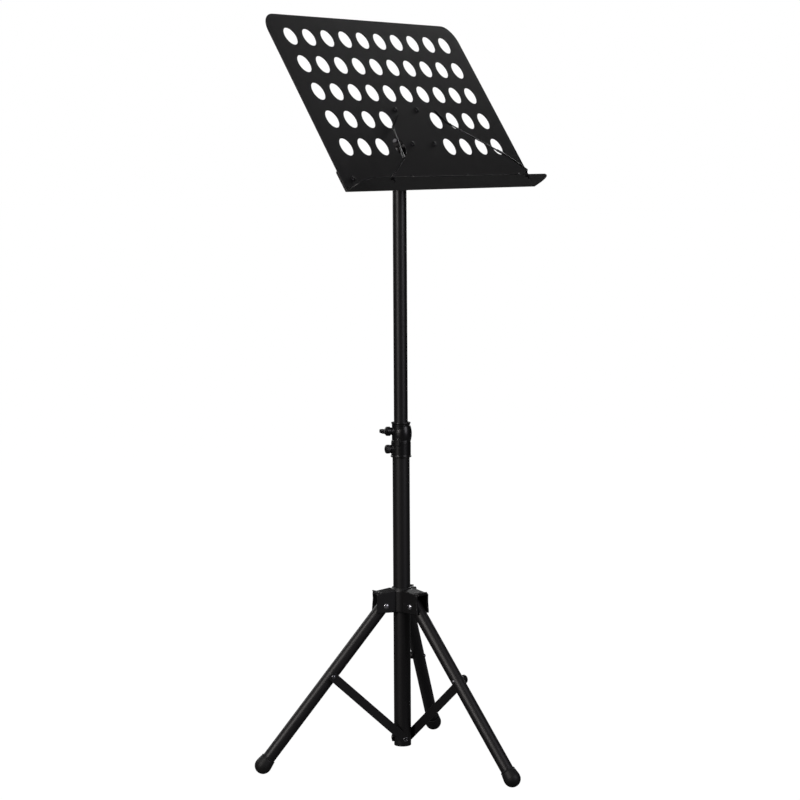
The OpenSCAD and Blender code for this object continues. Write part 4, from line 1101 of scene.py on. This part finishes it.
# ---- Page holders ----
# Hard-drawn spring wire, bent cold and lacquered black, whose foot turns in the tray over a push-on clip.
# A pressed ferrule stiffens it past the elbow, and a soft sleeve covers the last bend and the tip.
WIRE_R = 1.1
PIN_TAIL = 6.5
PIN_TOP = 2.6
WIRE_BEND_R = 3
WIRE_POINTS = ((0, 0, 0), (0, 4.4, 0), (3, 7, 6), (45.8, 29.8, 12.4), (123.5, 102.5, -6), (146, 119, 0))
FERRULE_R = 1.8
FERRULE_START = 1.5
FERRULE_LEN = 17
CRIMPS = (4, 13)
TUBING_R = 1.6
TUBING_OVERLAP = 8
TUBING_CAP = 1.5
CLIP_R = 4
CLIP_LOW = -1.8
CLIP_TOP = -0.3
SWINGS = (("left", -1, 11.5), ("right", 1, 5))

lacquer = powder_coat("black lacquer on wire", 0.24, 0.0)
soft_black = rubber("soft black sleeve", 0)
route, wire_r, bend_r, coating = pattern("bent wire", Wire_Radius="Float", Bend_Radius="Float")
line = route.node("GeometryNodeMeshToCurve", Mesh=route)
line = line.node("GeometryNodeFilletCurve", {"mode": "POLY"}, Curve=line, Radius=bend_r, Count=7,
                 Limit_Radius=True)
section = line.node("GeometryNodeCurvePrimitiveCircle", Resolution=20, Radius=wire_r)
bent_wire = line.node("GeometryNodeCurveToMesh", Curve=line, Profile_Curve=section, Fill_Caps=True)
bent_wire = ended(bent_wire, coating)


def strung(name, points, radius, material):
    """Round wire or tubing bent through points, its ends rounded."""
    path = bmesh.new()
    verts = [path.verts.new(point) for point in points]
    for a, b in zip(verts, verts[1:]):
        path.edges.new((a, b))
    piece = grown(made(name, path), bent_wire, Wire_Radius=radius, Bend_Radius=WIRE_BEND_R, Material=material)
    return eased(piece, 0.45, 3)


def wire_stops(side, swing):
    """Where a holder's wire bends, each counted inward, up the desk and out from its pivot."""
    stops = [Matrix.Rotation(math.radians(swing), 3, "Y") @ Vector(point) for point in WIRE_POINTS]
    return [desk @ (Vector((side * (HOLDER_X - x), y, HOLDER_Z + z)) * MM) for x, y, z in stops]


for name, side, swing in SWINGS:
    stops = wire_stops(side, swing)
    elbow, bend, tip = stops[3:]
    pivot = on_axis(stops[0], up_desk, (1, 0, 0))
    wire = strung(name + "_page_wire", stops, WIRE_R, lacquer)
    pin = post(PIN_R_HOLDER, -PIN_TAIL, PIN_TOP, pivot, 32, 0.4)
    pin.from_mesh(wire.data)
    pin.to_mesh(wire.data)
    pin.free()
    fitted(wire, lacquer, "black_wire", name + "_holder_wire")

    rod_way = (bend - elbow).normalized()
    ring = [(WIRE_R, 0), (FERRULE_R, 0)]
    for crimp in CRIMPS:
        ring += [(FERRULE_R, crimp - 1), (FERRULE_R - 0.3, crimp), (FERRULE_R, crimp + 1)]
    ring += [(FERRULE_R, FERRULE_LEN), (WIRE_R, FERRULE_LEN)]
    ferrule_place = on_axis(elbow + rod_way * FERRULE_START * MM, rod_way, rod_way.cross(off_desk).normalized())
    fitted(made(name + "_page_ferrule", ringed(ring, 0.4, ferrule_place, 32)),
           lacquer, "black_wire", name + "_holder_ferrule")

    ends = [bend - rod_way * TUBING_OVERLAP * MM, bend, tip + (tip - bend).normalized() * TUBING_CAP * MM]
    fitted(strung(name + "_page_tubing", ends, TUBING_R, soft_black),
           soft_black, "rubber", name + "_holder_sleeve")

    clip = [(PIN_R_HOLDER, CLIP_LOW), (CLIP_R - 1.7, CLIP_LOW), (CLIP_R - 1, CLIP_LOW + 0.7),
            (CLIP_R, CLIP_TOP - 0.5), (CLIP_R, CLIP_TOP), (PIN_R_HOLDER, CLIP_TOP)]
    fitted(made(name + "_push_clip", ringed(clip, 0.2, pivot, 48)), nylon, "nylon", name + "_holder_clip")

# ---- Floor, light and camera ----
# A pale seamless floor, two tall soft boxes in front, a dim square one high on the left and two tall ones
# behind. The camera stands in front of the stand and to its left, above its middle.
FLOOR_HALF = 30.0
FLOOR_GLOW = 0.80
FLOOR_WHITE = 1.25
FLOOR_DARK = (0.13, 0.13, 0.13, 1)
FLOOR_PALE = (0.16, 0.16, 0.16, 1)
SKY_LIT = 0.03
SKY_SEEN = 1.0
WHITE = (1, 1, 1, 1)
EYE = Vector((-3.000, -1.952, 0.9085))
AIM = Vector((-0.0006, 0.0009, 0.5457))
EYE_ROLL = math.radians(-0.327)
LENS = 109.7235
SENSOR = 36
LIGHTS_AIM = 0.55

floor_sheet = bmesh.new()
bmesh.ops.create_grid(floor_sheet, x_segments=1, y_segments=1, size=FLOOR_HALF)
floor = made("floor", floor_sheet)
pale, pale_shader, pale_place = finish("pale floor", Specular_IOR_Level=0.1)
mottle = pale_place.noise(3.0, 4.0)
drive(pale_shader, Base_Color=mottle.tinted(FLOOR_DARK, FLOOR_PALE), Roughness=0.85 + mottle * 0.1)
glow = pale_place.node("ShaderNodeEmission", Color=WHITE, Strength=FLOOR_WHITE)
lit = Wire(pale.node_tree, pale_shader.outputs[0])
seen = pale_place.node("ShaderNodeLightPath")
backdrop = pale_place.node("ShaderNodeMixShader", i0=seen * FLOOR_GLOW, i1=lit, i2=glow)
pale.node_tree.links.new(backdrop.socket, pale.node_tree.nodes["Material Output"].inputs["Surface"])
floor.data.materials.append(pale)

world = bpy.data.worlds.new("studio")
bpy.context.scene.world = world
world.use_nodes = True
sky = world.node_tree.nodes["Background"]
seen = Wire(world.node_tree).node("ShaderNodeLightPath")
level = seen.node("ShaderNodeMapRange", Value=seen, To_Min=SKY_LIT, To_Max=SKY_SEEN)
world.node_tree.links.new(level.socket, sky.inputs["Strength"])
sky.inputs["Color"].default_value = WHITE

ahead = (AIM - EYE).normalized()
level_right = ahead.cross(Vector((0, 0, 1))).normalized()
level_up = level_right.cross(ahead)
right = math.cos(EYE_ROLL) * level_right + math.sin(EYE_ROLL) * level_up
up = right.cross(ahead)
camera_data = bpy.data.cameras.new("camera")
camera_data.sensor_width = SENSOR
camera_data.lens = LENS
camera = bpy.data.objects.new("camera", camera_data)
camera.matrix_world = Matrix.Translation(EYE) @ Matrix((right, up, -ahead)).transposed().to_4x4()
bpy.context.scene.collection.objects.link(camera)
bpy.context.scene.camera = camera


def soft_box(name, bearing, distance, height, size, power, tint=(1, 1, 1)):
    """An area light at a bearing round the stand, counted in degrees from the camera's side."""
    towards_eye = math.atan2(EYE.y, EYE.x) + math.radians(bearing)
    data = bpy.data.lights.new(name, "AREA")
    data.shape = "RECTANGLE"
    data.size, data.size_y = size
    data.energy = power
    data.color = tint
    lamp = bpy.data.objects.new(name, data)
    lamp.location = (distance * math.cos(towards_eye), distance * math.sin(towards_eye), height)
    lamp.rotation_euler = (Vector((0, 0, LIGHTS_AIM)) - lamp.location).to_track_quat("-Z", "Y").to_euler()
    bpy.context.scene.collection.objects.link(lamp)


soft_box("left strip", -42, 2.6, 1.55, (0.55, 1.9), 39, (1.0, 0.96, 0.94))
soft_box("right strip", 50, 2.8, 1.55, (1.1, 1.9), 28, (0.95, 0.93, 1.0))
soft_box("overhead", -66, 1.3, 3.2, (1.8, 1.8), 8)
soft_box("back strip", 160, 2.8, 1.6, (0.9, 1.8), 20)
soft_box("back fill", -140, 2.8, 1.7, (1.4, 1.8), 18)

bpy.context.scene.view_settings.view_transform = "Standard"
